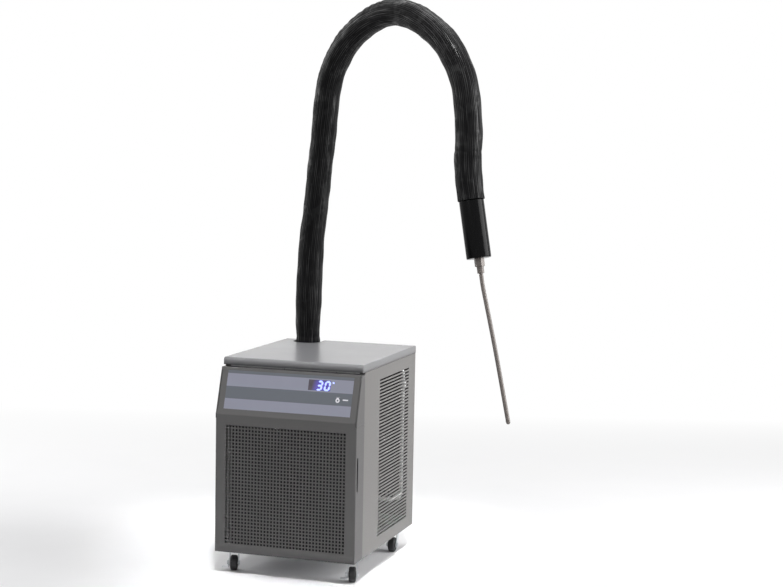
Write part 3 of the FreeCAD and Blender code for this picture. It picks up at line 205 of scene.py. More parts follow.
def rounded(corners, radii, steps=6):
    """A path of straight runs in a plane, each inner corner turned into an arc of its radius."""
    corners = np.asarray(corners, float)
    path = [corners[:1]]
    for before, corner, after, radius in zip(corners, corners[1:], corners[2:], radii):
        back, ahead = unit(before - corner), unit(after - corner)
        half = math.acos(max(-1.0, min(1.0, float(back @ ahead)))) / 2
        if radius <= 0 or half > 1.55:
            path.append(corner[None])
            continue
        reach = radius / math.tan(half)
        centre = corner + unit(back + ahead) * radius / math.sin(half)
        start, end = corner + back * reach - centre, corner + ahead * reach - centre
        sweep = math.pi - 2 * half
        t = np.linspace(0, 1, steps + 1)[:, None]
        path.append(centre + (start * np.sin((1 - t) * sweep) + end * np.sin(t * sweep)) / math.sin(sweep))
    path.append(corners[-1:])
    return np.concatenate(path)


def braced(path, reach=0.8):
    """The same path with an extra point close to each end of every long run, so that the runs stay
    flat in smooth shading and only the bends between them turn."""
    path = np.asarray(path, float)
    steps = [path[:1]]
    for a, b in zip(path, path[1:]):
        share = reach / max(float(np.linalg.norm(b - a)), 1e-6)
        if share < 0.25:
            steps.append(np.stack([a + (b - a) * share, b - (b - a) * share]))
        steps.append(b[None])
    return np.concatenate(steps)


def spread_out(x, y, z):
    """A grid of points from its three coordinates, each repeated along what it doesn't change with."""
    return np.stack(np.broadcast_arrays(x, y, z), axis=-1)


def turned(skin, profile, start, axis, columns=64):
    """A lathe form: each (height, radius) of the profile becomes a ring about the axis."""
    axis = unit(axis)
    side = unit(np.cross(axis, (0.0, 0.0, 1.0) if abs(axis[2]) < 0.9 else (1.0, 0.0, 0.0)))
    other = np.cross(axis, side)
    angle = np.linspace(0, 2 * math.pi, columns, endpoint=False)
    profile = np.asarray(profile, float)
    ring = np.cos(angle)[:, None] * side + np.sin(angle)[:, None] * other
    rows = np.asarray(start, float) + profile[:, :1, None] * axis + profile[:, 1:, None] * ring[None]
    skin.grid(rows, around=True)


def on_slope(x, up, out):
    """Points of the sloped panel: across, up along it from the bend, and out of it."""
    x, up, out = np.broadcast_arrays(*(np.asarray(v, float) for v in (x, up, out)))
    return np.stack([x, FRONT + (up * LEAN - out) / SECANT, KINK + (up + out * LEAN) / SECANT], axis=-1)


def spline_of(points):
    """The route as a smooth NURBS line, read back as closely spaced points in millimetres."""
    curve = bpy.data.curves.new("route", "CURVE")
    curve.dimensions = "3D"
    line = curve.splines.new("NURBS")
    line.points.add(len(points) - 1)
    flat = np.concatenate([np.asarray(points, float) * MM, np.ones((len(points), 1))], axis=1)
    line.points.foreach_set("co", flat.ravel())
    line.order_u = 3
    line.use_endpoint_u = True
    curve.resolution_u = 40
    holder = bpy.data.objects.new("route", curve)
    bpy.context.scene.collection.objects.link(holder)
    bpy.context.view_layer.update()
    mesh = bpy.data.meshes.new_from_object(holder)
    found = np.empty(len(mesh.vertices) * 3)
    mesh.vertices.foreach_get("co", found)
    bpy.data.objects.remove(holder)
    bpy.data.curves.remove(curve)
    bpy.data.meshes.remove(mesh)
    return found.reshape(-1, 3) / MM


def evenly(line, step):
    """The same line with its points set an even distance apart."""
    run = np.concatenate([[0.0], np.cumsum(np.linalg.norm(np.diff(line, axis=0), axis=1))])
    places = np.linspace(0, run[-1], int(round(run[-1] / step)) + 1)
    return np.stack([np.interp(places, run, line[:, k]) for k in range(3)], axis=-1), places


# materials

def shade(*values):
    """A colour picked as 0 to 255, turned into the renderer's linear numbers."""
    picked = np.asarray(values, float) / 255
    linear = np.where(picked <= 0.04045, picked / 12.92, ((picked + 0.055) / 1.055) ** 2.4)
    return (*(float(v) for v in linear), 1.0)


class Link:
    """One output socket, with the operators that shader sums need."""

    def __init__(self, tree, socket):
        self.tree, self.socket = tree, socket

    def sum(self, operation, *others, first=None):
        node = self.tree.nodes.new("ShaderNodeMath")
        node.operation = operation
        for plug, value in zip(node.inputs, (self if first is None else first, *others)):
            if isinstance(value, Link):
                self.tree.links.new(value.socket, plug)
            else:
                plug.default_value = value
        return Link(self.tree, node.outputs[0])

    def __add__(self, other):
        return self.sum("ADD", other)

    def __radd__(self, other):
        return self.sum("ADD", other)

    def __sub__(self, other):
        return self.sum("SUBTRACT", other)

    def __rsub__(self, other):
        return self.sum("SUBTRACT", self, first=other)

    def __mul__(self, other):
        return self.sum("MULTIPLY", other)

    def __rmul__(self, other):
        return self.sum("MULTIPLY", other)

    def __truediv__(self, other):
        return self.sum("DIVIDE", other)

    def above(self, edge, soft=0.0):
        """1 where the value is above the edge, 0 below, with a ramp of the given width."""
        if soft <= 0:
            return self.sum("GREATER_THAN", edge)
        ramp = (self - (edge - soft / 2)) / soft
        return ramp.sum("MAXIMUM", 0.0).sum("MINIMUM", 1.0)

    def inside(self, low, high, soft=0.0):
        return self.above(low, soft) * (1 - self.above(high, soft))


class Finish:
    """One procedural material on the Principled shader."""

    def __init__(self, name, **fixed):
        self.material = bpy.data.materials.new(name)
        self.material.use_nodes = True
        self.tree = self.material.node_tree
        self.shader = self.tree.nodes["Principled BSDF"]
        self.feed(**fixed)

    def node(self, kind, settings=None, output=0, **values):
        """A node of one type: its settings first, then its sockets; underscores stand for spaces."""
        node = self.tree.nodes.new(kind)
        for key, value in (settings or {}).items():
            setattr(node, key, value)
        for key, value in values.items():
            plug = node.inputs[int(key[1:])] if key[0] == "_" else node.inputs[key.replace("_", " ")]
            self.plug(plug, value)
        return Link(self.tree, node.outputs[output])

    def plug(self, socket, value):
        if isinstance(value, Link):
            self.tree.links.new(value.socket, socket)
        else:
            socket.default_value = value

    def feed(self, **values):
        for key, value in values.items():
            self.plug(self.shader.inputs[key.replace("_", " ")], value)

    def place(self):
        return self.node("ShaderNodeTexCoord", output=3)

    def run(self):
        return self.node("ShaderNodeUVMap", {"uv_map": "run"})

    def parts(self, vector):
        node = self.tree.nodes.new("ShaderNodeSeparateXYZ")
        self.plug(node.inputs[0], vector)
        return [Link(self.tree, plug) for plug in node.outputs]

    def on_the_slope(self, place):
        """How far across the cabinet and how far up the slope a point lies, in millimetres."""
        x, y, z = self.parts(place)
        return x * 1000, ((y * 1000 - FRONT) * LEAN + (z * 1000 - KINK)) / SECANT

    def stretched(self, vector, *scale):
        return self.node("ShaderNodeMapping", Vector=vector, Scale=scale)

    def noise(self, vector, scale, detail=4.0, roughness=0.55):
        return self.node("ShaderNodeTexNoise", Vector=vector, Scale=scale, Detail=detail,
                         Roughness=roughness)

    def blend(self, factor, first, second):
        """A colour between two, by a factor."""
        return self.node("ShaderNodeMix", {"data_type": "RGBA"}, output=2, _0=factor, _6=first, _7=second)

    def bump(self, height, distance, strength=1.0):
        normal = self.node("ShaderNodeBump", Height=height, Distance=distance, Strength=strength)
        self.feed(Normal=normal)

    def dot(self, vector, axis):
        return self.node("ShaderNodeVectorMath", {"operation": "DOT_PRODUCT"}, output=1, _0=vector, _1=axis)


def powder_coat(name, dark, light, roughness, grain, gloss=0.35, clear=0.0, depth=0.00006):
    """Baked powder paint: a fine orange-peel bump, slight clouds of colour and worn gloss."""
    coat = Finish(name, Specular_IOR_Level=gloss, Coat_Weight=clear, Coat_Roughness=0.26)
    place = coat.place()
    clouds = coat.noise(place, 9.0, 3.0)
    speck = coat.noise(place, 900.0, 2.0)
    coat.feed(Base_Color=coat.blend(clouds * 0.6 + speck * 0.4, dark, light),
              Roughness=roughness + (clouds - 0.5) * 0.08)
    peel = coat.noise(place, grain, 2.0) + coat.noise(place, grain * 3.1, 2.0) * 0.4
    coat.bump(peel, depth)
    return coat.material


# heights along the slope: the overlay's two pale bands, and the digits with their slant
UPPER_BAND = (71.0, 103.0)
LOWER_BAND = (0.0, 40.5)
DIGIT_MIDDLE = 86.0
SLANT = 0.17


def overlay_film():
    """Printed polyester film: two grey-blue tones in bands that run across the slope."""
    film = Finish("overlay_film", Specular_IOR_Level=0.4)
    place = film.place()
    _, up = film.on_the_slope(place)
    pale = up.inside(*UPPER_BAND, 0.25) + up.inside(*LOWER_BAND, 0.25)
    grain = film.noise(place, 2600.0, 2.0)
    clouds = film.noise(place, 30.0, 2.0)
    tone = film.blend(pale, shade(87, 91, 98), shade(132, 133, 147))
    tone = film.blend(grain * 0.16 + clouds * 0.08, tone, shade(84, 87, 96))
    film.feed(Base_Color=tone, Roughness=0.46 + grain * 0.10)
    film.bump(grain, 0.00003)
    return film.material


def display_glass():
    """Smoked window, lit from behind near the digits."""
    glass = Finish("display_glass", Specular_IOR_Level=0.3, Roughness=0.30)
    place = glass.place()
    across, up = glass.on_the_slope(place)
    upright = across - (up - DIGIT_MIDDLE) * SLANT
    glow = upright.inside(64.0, 112.0, 12.0) * up.inside(70.0, 102.0, 14.0)
    smoke = glass.noise(glass.stretched(place, 40.0, 40.0, 18.0), 2.2, 3.0)
    glass.feed(Base_Color=glass.blend(smoke, shade(44, 38, 48), shade(84, 76, 86)),
               Emission_Color=glass.blend(glow, shade(0, 0, 0), shade(46, 40, 150)),
               Emission_Strength=1.0)
    return glass.material


def lit_segment(name, colour, strength):
    """A lit mark: one glow of the given colour, flecked slightly toward a paler blue-white by fine specks.
    """
    lamp = Finish(name, Base_Color=shade(180, 190, 230), Roughness=0.4, Emission_Strength=strength)
    speck = lamp.noise(lamp.place(), 700.0, 1.0)
    lamp.feed(Emission_Color=lamp.blend(speck * 0.4, colour, shade(205, 220, 255)))
    return lamp.material


def printed_mark():
    ink = Finish("printed_mark", Roughness=0.5)
    speck = ink.noise(ink.place(), 1800.0, 2.0)
    ink.feed(Base_Color=ink.blend(speck, shade(196, 196, 200), shade(226, 226, 228)))
    return ink.material


def hose_jacket_cloth():
    """Black ribbed nylon jacket: fine ribs lie along the hose, drawn crooked by creases, with a
    worn sheen on the ribs' tops and small glossy patches."""
    cloth = Finish("hose_jacket_cloth", Specular_IOR_Level=0.08, Coat_Roughness=0.34)
    around = cloth.parts(cloth.run())[0]
    place = cloth.place()
    wander = cloth.noise(place, 22.0, 3.0) - 0.5
    fine = (around * 6.2832 * 46 + wander * 3.4).sum("SINE") * 0.5 + 0.5
    broad = cloth.noise(cloth.stretched(cloth.run(), 17.0, 3.2, 1.0), 1.0, 4.0)
    crease = cloth.noise(cloth.stretched(cloth.run(), 9.0, 26.0, 1.0), 1.0, 3.0)
    patch = cloth.noise(place, 34.0, 2.0).above(0.63, 0.10)
    tone = cloth.blend(fine * 0.55 + broad * 0.45, shade(2, 2, 3), shade(15, 15, 16))
    streak = cloth.noise(cloth.stretched(cloth.run(), 58.0, 2.4, 1.0), 1.0, 3.0).above(0.53, 0.16)
    sheen = fine.above(0.62, 0.5) * streak * 0.75 + patch * 0.2
    cloth.feed(Base_Color=tone, Roughness=0.60 - patch * 0.22 - fine * 0.08, Coat_Weight=sheen)
    cloth.bump(fine * 0.45 + broad * 0.9 + crease * 0.5, 0.0011)
    return cloth.material


def gloss_black():
    """Moulded grip: deep black, polished, with a faint waviness and fine rubbed marks."""
    grip = Finish("gloss_black", Specular_IOR_Level=0.07, Coat_Roughness=0.10)
    place = grip.place()
    rub = grip.noise(grip.stretched(place, 60.0, 60.0, 6.0), 6.0, 3.0)
    grip.feed(Base_Color=grip.blend(rub, shade(4, 4, 5), shade(10, 10, 11)),
              Roughness=0.14 + rub * 0.10, Coat_Weight=rub * 0.05)
    grip.bump(grip.noise(place, 38.0, 2.0), 0.00008)
    return grip.material


def drawn_steel(name, dark, light, roughness, along=(1.0, 1.0, 0.05), scale=500.0, metal=1.0,
                depth=0.00003):
    """Drawn or ground steel: hair lines along one direction and soft stains. Plated parts have a milky
    passivated layer, so they are less metallic."""
    steel = Finish(name, Metallic=metal)
    place = steel.place()
    hair = steel.noise(steel.stretched(place, *along), scale, 3.0)
    stain = steel.noise(place, 42.0, 3.0)
    steel.feed(Base_Color=steel.blend(hair * 0.6 + stain * 0.4, dark, light),
               Roughness=roughness + (hair - 0.5) * 0.14 + (stain - 0.5) * 0.10)
    steel.bump(hair, depth)
    return steel.material


def plain_plastic(name, dark, light, roughness, grain=420.0):
    """Moulded plastic or rubber: fine spark-eroded grain and slight mottling."""
    body = Finish(name, Specular_IOR_Level=0.4)
    place = body.place()
    mottle = body.noise(place, 55.0, 3.0)
    fine = body.noise(place, grain, 2.0)
    body.feed(Base_Color=body.blend(mottle * 0.6 + fine * 0.4, dark, light),
              Roughness=roughness + (fine - 0.5) * 0.12)
    body.bump(fine, 0.00005)
    return body.material


# the level direction in which the photographer looks
AWAY = (-0.3058, 0.9521, 0.0)


def studio_floor():
    """Pale sweep: a matt floor near the cabinet that turns to pure white behind it."""
    floor = Finish("studio_floor", Specular_IOR_Level=0.1, Roughness=0.85)
    place = floor.place()
    grain = floor.noise(place, 6.0, 2.0)
    floor.feed(Base_Color=floor.blend(grain, shade(236, 236, 237), shade(240, 240, 241)))
    depth = floor.dot(place, AWAY)
    far = depth.above(1.35, 1.9)
    white = floor.node("ShaderNodeEmission", Color=(1.0, 1.0, 1.0, 1.0), Strength=1.0)
    lit = Link(floor.tree, floor.shader.outputs[0])
    mixed = floor.node("ShaderNodeMixShader", _0=far, _1=lit, _2=white)
    floor.plug(floor.tree.nodes["Material Output"].inputs["Surface"], mixed)
    return floor.material


CASE = powder_coat("case_paint", shade(101, 99, 98), shade(113, 111, 109), 0.42, 1500.0)
COVER = powder_coat("cover_paint", shade(75, 74, 74), shade(85, 84, 84), 0.44, 1500.0)
LID = powder_coat("lid_paint", shade(101, 101, 103), shade(113, 113, 115), 0.32, 1100.0,
                  gloss=0.5, clear=0.36, depth=0.000008)
ZINC = drawn_steel("zinc_plate", shade(150, 150, 152), shade(196, 196, 198), 0.30, (1.0, 1.0, 1.0), 90.0)
PLATED = drawn_steel("plated_caster", shade(176, 179, 182), shade(222, 225, 228), 0.32, (1.0, 1.0, 1.0),
                     160.0, metal=0.45)
STEEL = drawn_steel("ground_steel", shade(150, 148, 146), shade(206, 205, 204), 0.30, (1.0, 1.0, 0.06))
# The tube's near-white colour with little metal in it is a painted reflection: it stands in for the bright
# glints that the polished tube shows through the side louvres.
TUBE_PAINTED_GLINT = drawn_steel("polished_tube", shade(250, 251, 252), shade(255, 255, 255), 0.22, (1.0, 1.0, 0.1),
                     metal=0.15)
PROBE = drawn_steel("probe_steel", shade(84, 78, 75), shade(112, 106, 102), 0.40, (1.0, 1.0, 0.3), 60.0,
                    metal=0.35, depth=0.000004)
# The aluminium parts inside get a near-black colour. This is painted shade: it stands in for the darkness
# seen through the grille's holes, not for the fins' own colour.
ALUMINIUM_IN_PAINTED_SHADE = plain_plastic("aluminium_fins_painted_shade", shade(8, 8, 9), shade(15, 15, 16), 0.70, 300.0)
RUBBER = plain_plastic("black_rubber", shade(18, 18, 18), shade(32, 32, 32), 0.62)
PLASTIC = plain_plastic("black_plastic", shade(20, 20, 22), shade(34, 34, 36), 0.46)
TREAD = plain_plastic("grey_tread", shade(24, 24, 25), shade(38, 38, 40), 0.55)
SHELL = powder_coat("black_enamel", shade(20, 20, 21), shade(30, 30, 31), 0.34, 900.0)
FOAM = plain_plastic("black_foam", shade(24, 24, 24), shade(40, 40, 40), 0.85, 160.0)
BOARD = plain_plastic("circuit_board", shade(24, 70, 44), shade(38, 96, 60), 0.40)
FILM = overlay_film()
GLASS = display_glass()
JACKET = hose_jacket_cloth()
GRIP = gloss_black()
MARK = printed_mark()
DIGIT = lit_segment("lit_segment", shade(96, 136, 255), 0.9)
GLOW = lit_segment("digit_halo", shade(34, 36, 240), 0.85)

FINISHES = {
    "case_paint": CASE, "lid_paint": LID, "zinc": ZINC, "steel": STEEL, "polished_tube": TUBE_PAINTED_GLINT,
    "aluminium": ALUMINIUM_IN_PAINTED_SHADE, "black_rubber": RUBBER, "black_gloss": GRIP, "black_plastic": PLASTIC,
    "overlay_film": FILM, "window": GLASS, "black_shell": SHELL, "grey_tread": TREAD, "foam": FOAM,
    "board": BOARD,
}


def dress_nodes():
    """Gives every CAD node the finish of its material slot."""
    for entry in frame["record"]["subparts"]:
        node = frame["nodes"][entry["node"]]
        finish = FINISHES[entry["material_slot"]]
        if entry["node"].startswith(("caster_", "brake_", "pan_screws")) and finish is STEEL:
            finish = PLATED
        if entry["node"] in ("probe_fitting", "probe_rod"):
            finish = PROBE
        if not node.data.materials:
            node.data.materials.append(finish)
        for index in range(len(node.material_slots)):
            node.material_slots[index].material = finish


# the hose and what hangs on it

JACKET_RADIUS = [
    (0, 30.6), (22, 30.6), (48, 31.6), (80, 33.4), (123, 35.0), (180, 34.2), (244, 33.6), (377, 32.2),
    (560, 33.0), (800, 33.4), (1100, 33.2), (1230, 33.8), (1330, 33.0), (1480, 33.2), (1560, 33.4),
    (1600, 32.4), (1640, 31.4),
]


def hose_jacket():
    """Sleeve drawn over the hose: rings about the smooth route. Each ring's radius is a slow curve of
    the distance along, plus soft lumps, plus lengthwise gathers that fade away from both ends, plus
    crosswise wrinkles on the inside of the arch."""
    line, run = evenly(spline_of(HOSE_ROUTE), 2.4)
    length = run[-1]
    tangent = np.gradient(line, axis=0)
    tangent /= np.linalg.norm(tangent, axis=1)[:, None]
    flat = unit(np.cross(line[-1] - line[0], (0.0, 0.0, 1.0)))
    inward = np.cross(tangent, flat)
    inward /= np.linalg.norm(inward, axis=1)[:, None]
    side = np.cross(inward, tangent)
    columns = 116
    angle = np.linspace(0, 2 * math.pi, columns + 1)
    s, a = run[:, None], angle[None, :]
    radius = np.interp(run, *zip(*JACKET_RADIUS))
    kernel = np.hanning(31)
    padded = np.pad(radius, 15, mode="edge")
    radius = np.convolve(padded, kernel / kernel.sum(), mode="valid")[:, None]
    lumps = (0.55 * np.sin(s / 31 + 2.0 * np.sin(a) + 0.6)
             + 0.45 * np.sin(s / 17.3 + 3 * a + np.sin(s / 60))
             + 0.35 * np.sin(s / 9.1 + 1.7 * np.cos(2 * a + s / 75)))
    gather = np.exp(-(s / 34) ** 2) + 0.7 * np.exp(-((length - s) / 30) ** 2)
    folds = gather * (0.9 * np.sin(13 * a + 0.7 * np.sin(s / 13)) + 0.5 * np.sin(23 * a))
    bend = np.exp(-((s - 900) / 260) ** 2) * np.clip(np.sin(a) * -1, 0, 1) ** 2
    creases = bend * 0.8 * np.sin(s / 3.4 + 1.5 * np.sin(a * 2 + s / 37) + np.sin(s / 19))
    band = -0.9 * np.exp(-((s - (length - 118)) / 5) ** 2) - 0.7 * np.exp(-((s - 24) / 5) ** 2)
    reach = radius + lumps + folds + creases + band
    ring = line[:, None] + reach[..., None] * (
        np.cos(a)[..., None] * side[:, None] + np.sin(a)[..., None] * inward[:, None])
    uv = np.stack(np.broadcast_arrays(a / (2 * math.pi), s / 207.0), axis=-1)
    skin = Skin()
    skin.grid(ring, uv=uv)
    for end, row in ((0, ring[0]), (-1, ring[-1])):
        shrunk = np.linspace(1, 0, 4)[:, None, None]
        cap = line[end] + (row[None] - line[end]) * shrunk
        skin.grid(cap, uv=np.zeros(cap.shape[:2] + (2,)))
    piece = skin.build("hose_jacket", "cabinet", JACKET, ("hose_sleeve",),
                       angle=60, closed=True)
    return piece, line, length


def probe_handle():
    """Turned grip with softened rims, from the sleeve's end to the fitting."""
    skin = Skin()
    profile = rounded([(0, 0), (0, 30), (HANDLE_LENGTH, 30), (HANDLE_LENGTH, 0)], (3.2, 2.6), 8)
    turned(skin, profile, HANDLE_START, HANDLE_AIM, 96)
    return skin.build("grip", "cabinet", GRIP, ("probe_handle",), closed=True)


# the lid

LID_BEND, LID_NOSE, LID_GAP = 1.8, 8.0, 0.9
NOTCH = (-109.0, 201.5, 39.0)


def lid_sheet():
    """One folded plate. Its top is cut in three: straight strips left and right of the notch, and rays
    from the notch's middle between its round front and the plate's edges. The front edge is a wide
    bend, the side edges are tight ones, and the corner between them turns from one into the other."""
    skin = Skin()
    side_x, nose_y, high = WIDTH / 2 - LID_BEND, LID_FRONT + LID_NOSE, TOP
    cx, cy, radius = NOTCH
    up = (0.0, 0.0, 1.0)
    for xs in ((-side_x, 2.0 - side_x, cx - radius - 1.0, cx - radius),
               (cx + radius, cx + radius + 1.0, side_x - 2.0, side_x)):
        strip = np.array([(x, cy, high) for x in xs])
        rear = strip * (1, 0, 1) + (0, REAR, 0)
        skin.grid([strip, rear], up)
        skin.grid([rear - (0, 0, high - LID_LOW), rear], (0.0, 1.0, 0.0))
    corners = np.array([(-side_x, nose_y), (side_x, nose_y)]) - (cx, cy)
    to_corners = np.arctan2(corners[:, 1], corners[:, 0])
    angle = np.unique(np.concatenate([np.linspace(-math.pi, 0, 61), to_corners]))
    ray = np.stack([np.cos(angle), np.sin(angle)], axis=-1)
    reach_x = np.where(ray[:, 0] > 0, side_x - cx, cx + side_x) / np.maximum(np.abs(ray[:, 0]), 1e-6)
    reach_y = (cy - nose_y) / np.maximum(np.abs(ray[:, 1]), 1e-6)
    near = np.array((cx, cy)) + ray * radius
    far = np.array((cx, cy)) + ray * np.minimum(reach_x, reach_y)[:, None]
    run = np.linalg.norm(far - near, axis=1)[:, None]
    plan = np.stack([near, near + (far - near) / run, far - (far - near) * 2.0 / run, far])
    skin.grid(np.concatenate([plan, np.full(plan.shape[:2] + (1,), high)], axis=-1), up)

    turn = np.linspace(0, math.pi / 2, 11)
    spread = np.append(np.sin(turn), (1.0, 1.0))
    last = np.array([0.9, high - LID_LOW - LID_GAP])

    def fall(radius):
        """How far the plate has dropped along its bend, and then down its skirt."""
        return np.append(radius * (1 - np.cos(turn)), (radius + last[0], last[1]))

    nose = np.stack([nose_y - LID_NOSE * spread, high - fall(LID_NOSE)], axis=-1)
    xs = braced(np.linspace(-side_x, side_x, 5)[:, None], 2.0)[:, 0]
    skin.grid(spread_out(xs, nose[:, :1], nose[:, 1:]), (0.0, -1.0, 0.3))
    ys = braced(np.array([nose_y, 0.0, cy, REAR])[:, None], 2.0)[:, 0]
    around = np.linspace(0, math.pi / 2, 9)
    drops = np.stack([fall(LID_NOSE + (LID_BEND - LID_NOSE) * math.sin(a) ** 2) for a in around])
    for side in (-1, 1):
        bulge = side * (side_x + LID_BEND * spread)
        skin.grid(spread_out(bulge[:, None], ys, (high - fall(LID_BEND))[:, None]), (side, 0.0, 0.3))
        corner_x = side * (side_x + LID_BEND * spread * np.sin(around)[:, None])
        corner_y = nose_y - LID_NOSE * spread * np.cos(around)[:, None]
        skin.grid(spread_out(corner_x, corner_y, high - drops), (side, -1.0, 0.3))
    return skin.build("lid_sheet", "cabinet", LID, ("lid",), thickness=SHEET, angle=40,
                      flat=up)


# the folded front cover

PITCH = 25.4 / 3
COLUMNS, ROWS = 37, 35
FIELD_LOW = 82.6
HOLE = 2.95
BEND = 2.7
RELIEF = 10.0
FOLD, RETURN = 1.2, 8.5
SLOT_HALF, SLOT_RADIUS = 42.0, 4.7
SLOT_MIDDLE = np.array([FRONT + 12.0, FLOOR + 174.0 + SLOT_HALF])


def front_cover():
    """One folded sheet. The face is a lattice of cells, each the strip between a square cell edge and
    a soft-cornered hole; strips, bends and flanges carry the same lines on, so that all of it welds.
    Above the bend relief the slope's edges are returned inwards beside the flanges."""
    skin = Skin()
    half = WIDTH / 2 - BEND
    low = FIELD_LOW - PITCH / 2
    lines_x = (np.arange(2 * COLUMNS + 1) - COLUMNS) * PITCH / 2
    lines_z = low + np.arange(2 * ROWS + 1) * PITCH / 2
    face = (0.0, -1.0, 0.0)
    square = np.array([(-1, -1), (0, -1), (1, -1), (1, 0), (1, 1), (0, 1), (-1, 1), (-1, 0)], float)
    soft = square * np.where(np.abs(square).sum(axis=1) > 1.5, 0.93, 1.0)[:, None] * HOLE
    edge = np.insert(square * PITCH / 2, 1, 0.0, axis=1)
    hole = np.insert(soft, 1, 0.0, axis=1)
    middle_x = (np.arange(COLUMNS) - (COLUMNS - 1) / 2) * PITCH
    middle_z = FIELD_LOW + np.arange(ROWS) * PITCH
    cx, cz = np.meshgrid(middle_x, middle_z)
    places = np.stack([cx.ravel(), np.full(cx.size, FRONT), cz.ravel()], axis=-1)
    skin.tile(edge, hole, places, face)

    relief = KINK - RELIEF
    slope_x = np.concatenate([[FOLD - half, 2.0 - half], lines_x, [half - 2.0, half - FOLD]])
    all_x = np.concatenate([[-half], slope_x, [half]])
    all_z = np.concatenate([[FLOOR], lines_z, [relief - 0.8, relief]])

    def plate(xs, zs):
        skin.grid(spread_out(xs, FRONT, np.asarray(zs)[:, None]), face)

    plate(all_x, [FLOOR, low])
    plate(all_x, all_z[-3:])
    plate(all_x[:4], lines_z)
    plate(all_x[-4:], lines_z)

    # bend, slope, top bend and lip as one profile carried across
    profile = braced(rounded([(FRONT, relief), (FRONT, KINK), (FRONT + SLOPE_DEPTH, COVER_TOP),
                              (SEAM, COVER_TOP)], (9.0, 3.0), 8))
    skin.grid(spread_out(slope_x, profile[:, :1], profile[:, 1:]), (0.0, -1.0, 0.3))
    heading = np.gradient(profile[:-1], axis=0)
    normal = np.stack([-heading[:, 1], heading[:, 0]], axis=-1)
    normal /= np.linalg.norm(normal, axis=1)[:, None]

    for side in (-1, 1):
        out = (float(side), 0.0, 0.0)
        fold = np.linspace(0, math.pi / 2, 5)
        fold_x = np.append(side * (half - FOLD + FOLD * np.sin(fold)), side * half)
        drop = np.append(FOLD * (1 - np.cos(fold)), RETURN)
        inner = profile[:-1, None, :] - normal[:, None, :] * drop[None, :, None]
        skin.grid(spread_out(fold_x, inner[..., 0], inner[..., 1]), (float(side), -1.0, 0.3))
        turn = np.linspace(0, math.pi / 2, 7)
        bend_x = side * (half + BEND * np.sin(turn))
        bend_y = FRONT + BEND * (1 - np.cos(turn))
        skin.grid(spread_out(bend_x, bend_y, all_z[:, None]), (float(side), -1.0, 0.0))
        flange(skin, side, out, relief)
    return skin.build("front_cover_sheet", "cover", COVER, ("front_cover",),
                      thickness=SHEET, angle=30)


def flange(skin, side, out, relief):
    """Side flange: rays from the middle of the finger slot meet the slot's round-ended outline and
    the flange's edge; above the bend relief it is a plain strip along the slope."""
    x = side * WIDTH / 2
    middle = SLOT_MIDDLE
    near, far = FRONT + BEND, SEAM
    corners = np.array([(near, FLOOR), (far, FLOOR), (far, relief), (near, relief)]) - middle
    angle = np.unique(np.concatenate([
        np.linspace(-math.pi, math.pi, 73)[:-1],
        np.arctan2(corners[:, 1], corners[:, 0]),
        math.pi / 2 + np.linspace(-0.09, 0.09, 13), -math.pi / 2 + np.linspace(-0.09, 0.09, 13)]))
    ray = np.stack([np.cos(angle), np.sin(angle)], axis=-1)
    share = np.maximum(np.abs(ray), 1e-6)
    reach_y = np.where(ray[:, 0] > 0, far - middle[0], middle[0] - near) / share[:, 0]
    reach_z = np.where(ray[:, 1] > 0, relief - middle[1], middle[1] - FLOOR) / share[:, 1]
    edge = middle + ray * np.minimum(reach_y, reach_z)[:, None]
    radius, run = SLOT_RADIUS, SLOT_HALF - SLOT_RADIUS
    straight = radius / np.maximum(np.abs(ray[:, 0]), 1e-9)
    bow = np.abs(ray[:, 1]) * run
    round_end = bow + np.sqrt(np.maximum(bow ** 2 - run ** 2 + radius ** 2, 0))
    slot = middle + ray * np.where(straight * np.abs(ray[:, 1]) <= run, straight, round_end)[:, None]
    steps = np.array([0.0, 0.03, 0.12, 0.86, 0.985, 1.0])[:, None, None]
    strip = slot[None] + (edge - slot)[None] * steps
    skin.grid(spread_out(x, strip[..., 0], strip[..., 1]), out, around=True)
    heights = np.concatenate([[relief, KINK - 4.0, KINK], np.linspace(KINK, COVER_TOP, 8)[1:]])
    start = np.where(heights <= KINK, FRONT, FRONT + (heights - KINK) * LEAN)
    t = np.array([0.0, 0.03, 0.5, 0.97, 1.0])[None]
    y = start[:, None] + (SEAM - start)[:, None] * t
    skin.grid(spread_out(x, y, heights[:, None]), out)


# display, key and printed marks

def bar(skin, a, b, width, low, high):
    """A raised six-sided bar on the slope, from a to b, pointed at both ends."""
    a, b = np.asarray(a, float), np.asarray(b, float)
    along = unit(b - a)
    across = np.array([-along[1], along[0]])
    h = width / 2
    outline = np.array([a, a + along * h + across * h, b - along * h + across * h, b,
                        b - along * h - across * h, a + along * h - across * h])
    prism(skin, outline, low, high)


def prism(skin, outline, low, high):
    """A flat printed or moulded shape on the slope: its outline, shrunk to its middle, gives the face."""
    middle = outline.mean(axis=0)
    rings = [(outline, low), (outline, high), (middle + (outline - middle) * 0.5, high),
             (middle + (outline - middle) * 0.001, high)]
    rows = np.stack([on_slope(ring[:, 0], ring[:, 1], out) for ring, out in rings])
    skin.grid(rows, around=True)


SEGMENTS = {
    "a": ((0, 1), (1, 1)), "b": ((1, 1), (1, 0.5)), "c": ((1, 0.5), (1, 0)), "d": ((0, 0), (1, 0)),
    "e": ((0, 0), (0, 0.5)), "f": ((0, 0.5), (0, 1)), "g": ((0, 0.5), (1, 0.5)),
}


DIGIT_WIDTH, DIGIT_HEIGHT, DIGIT_FOOT = 10.6, 20.4, 76.0


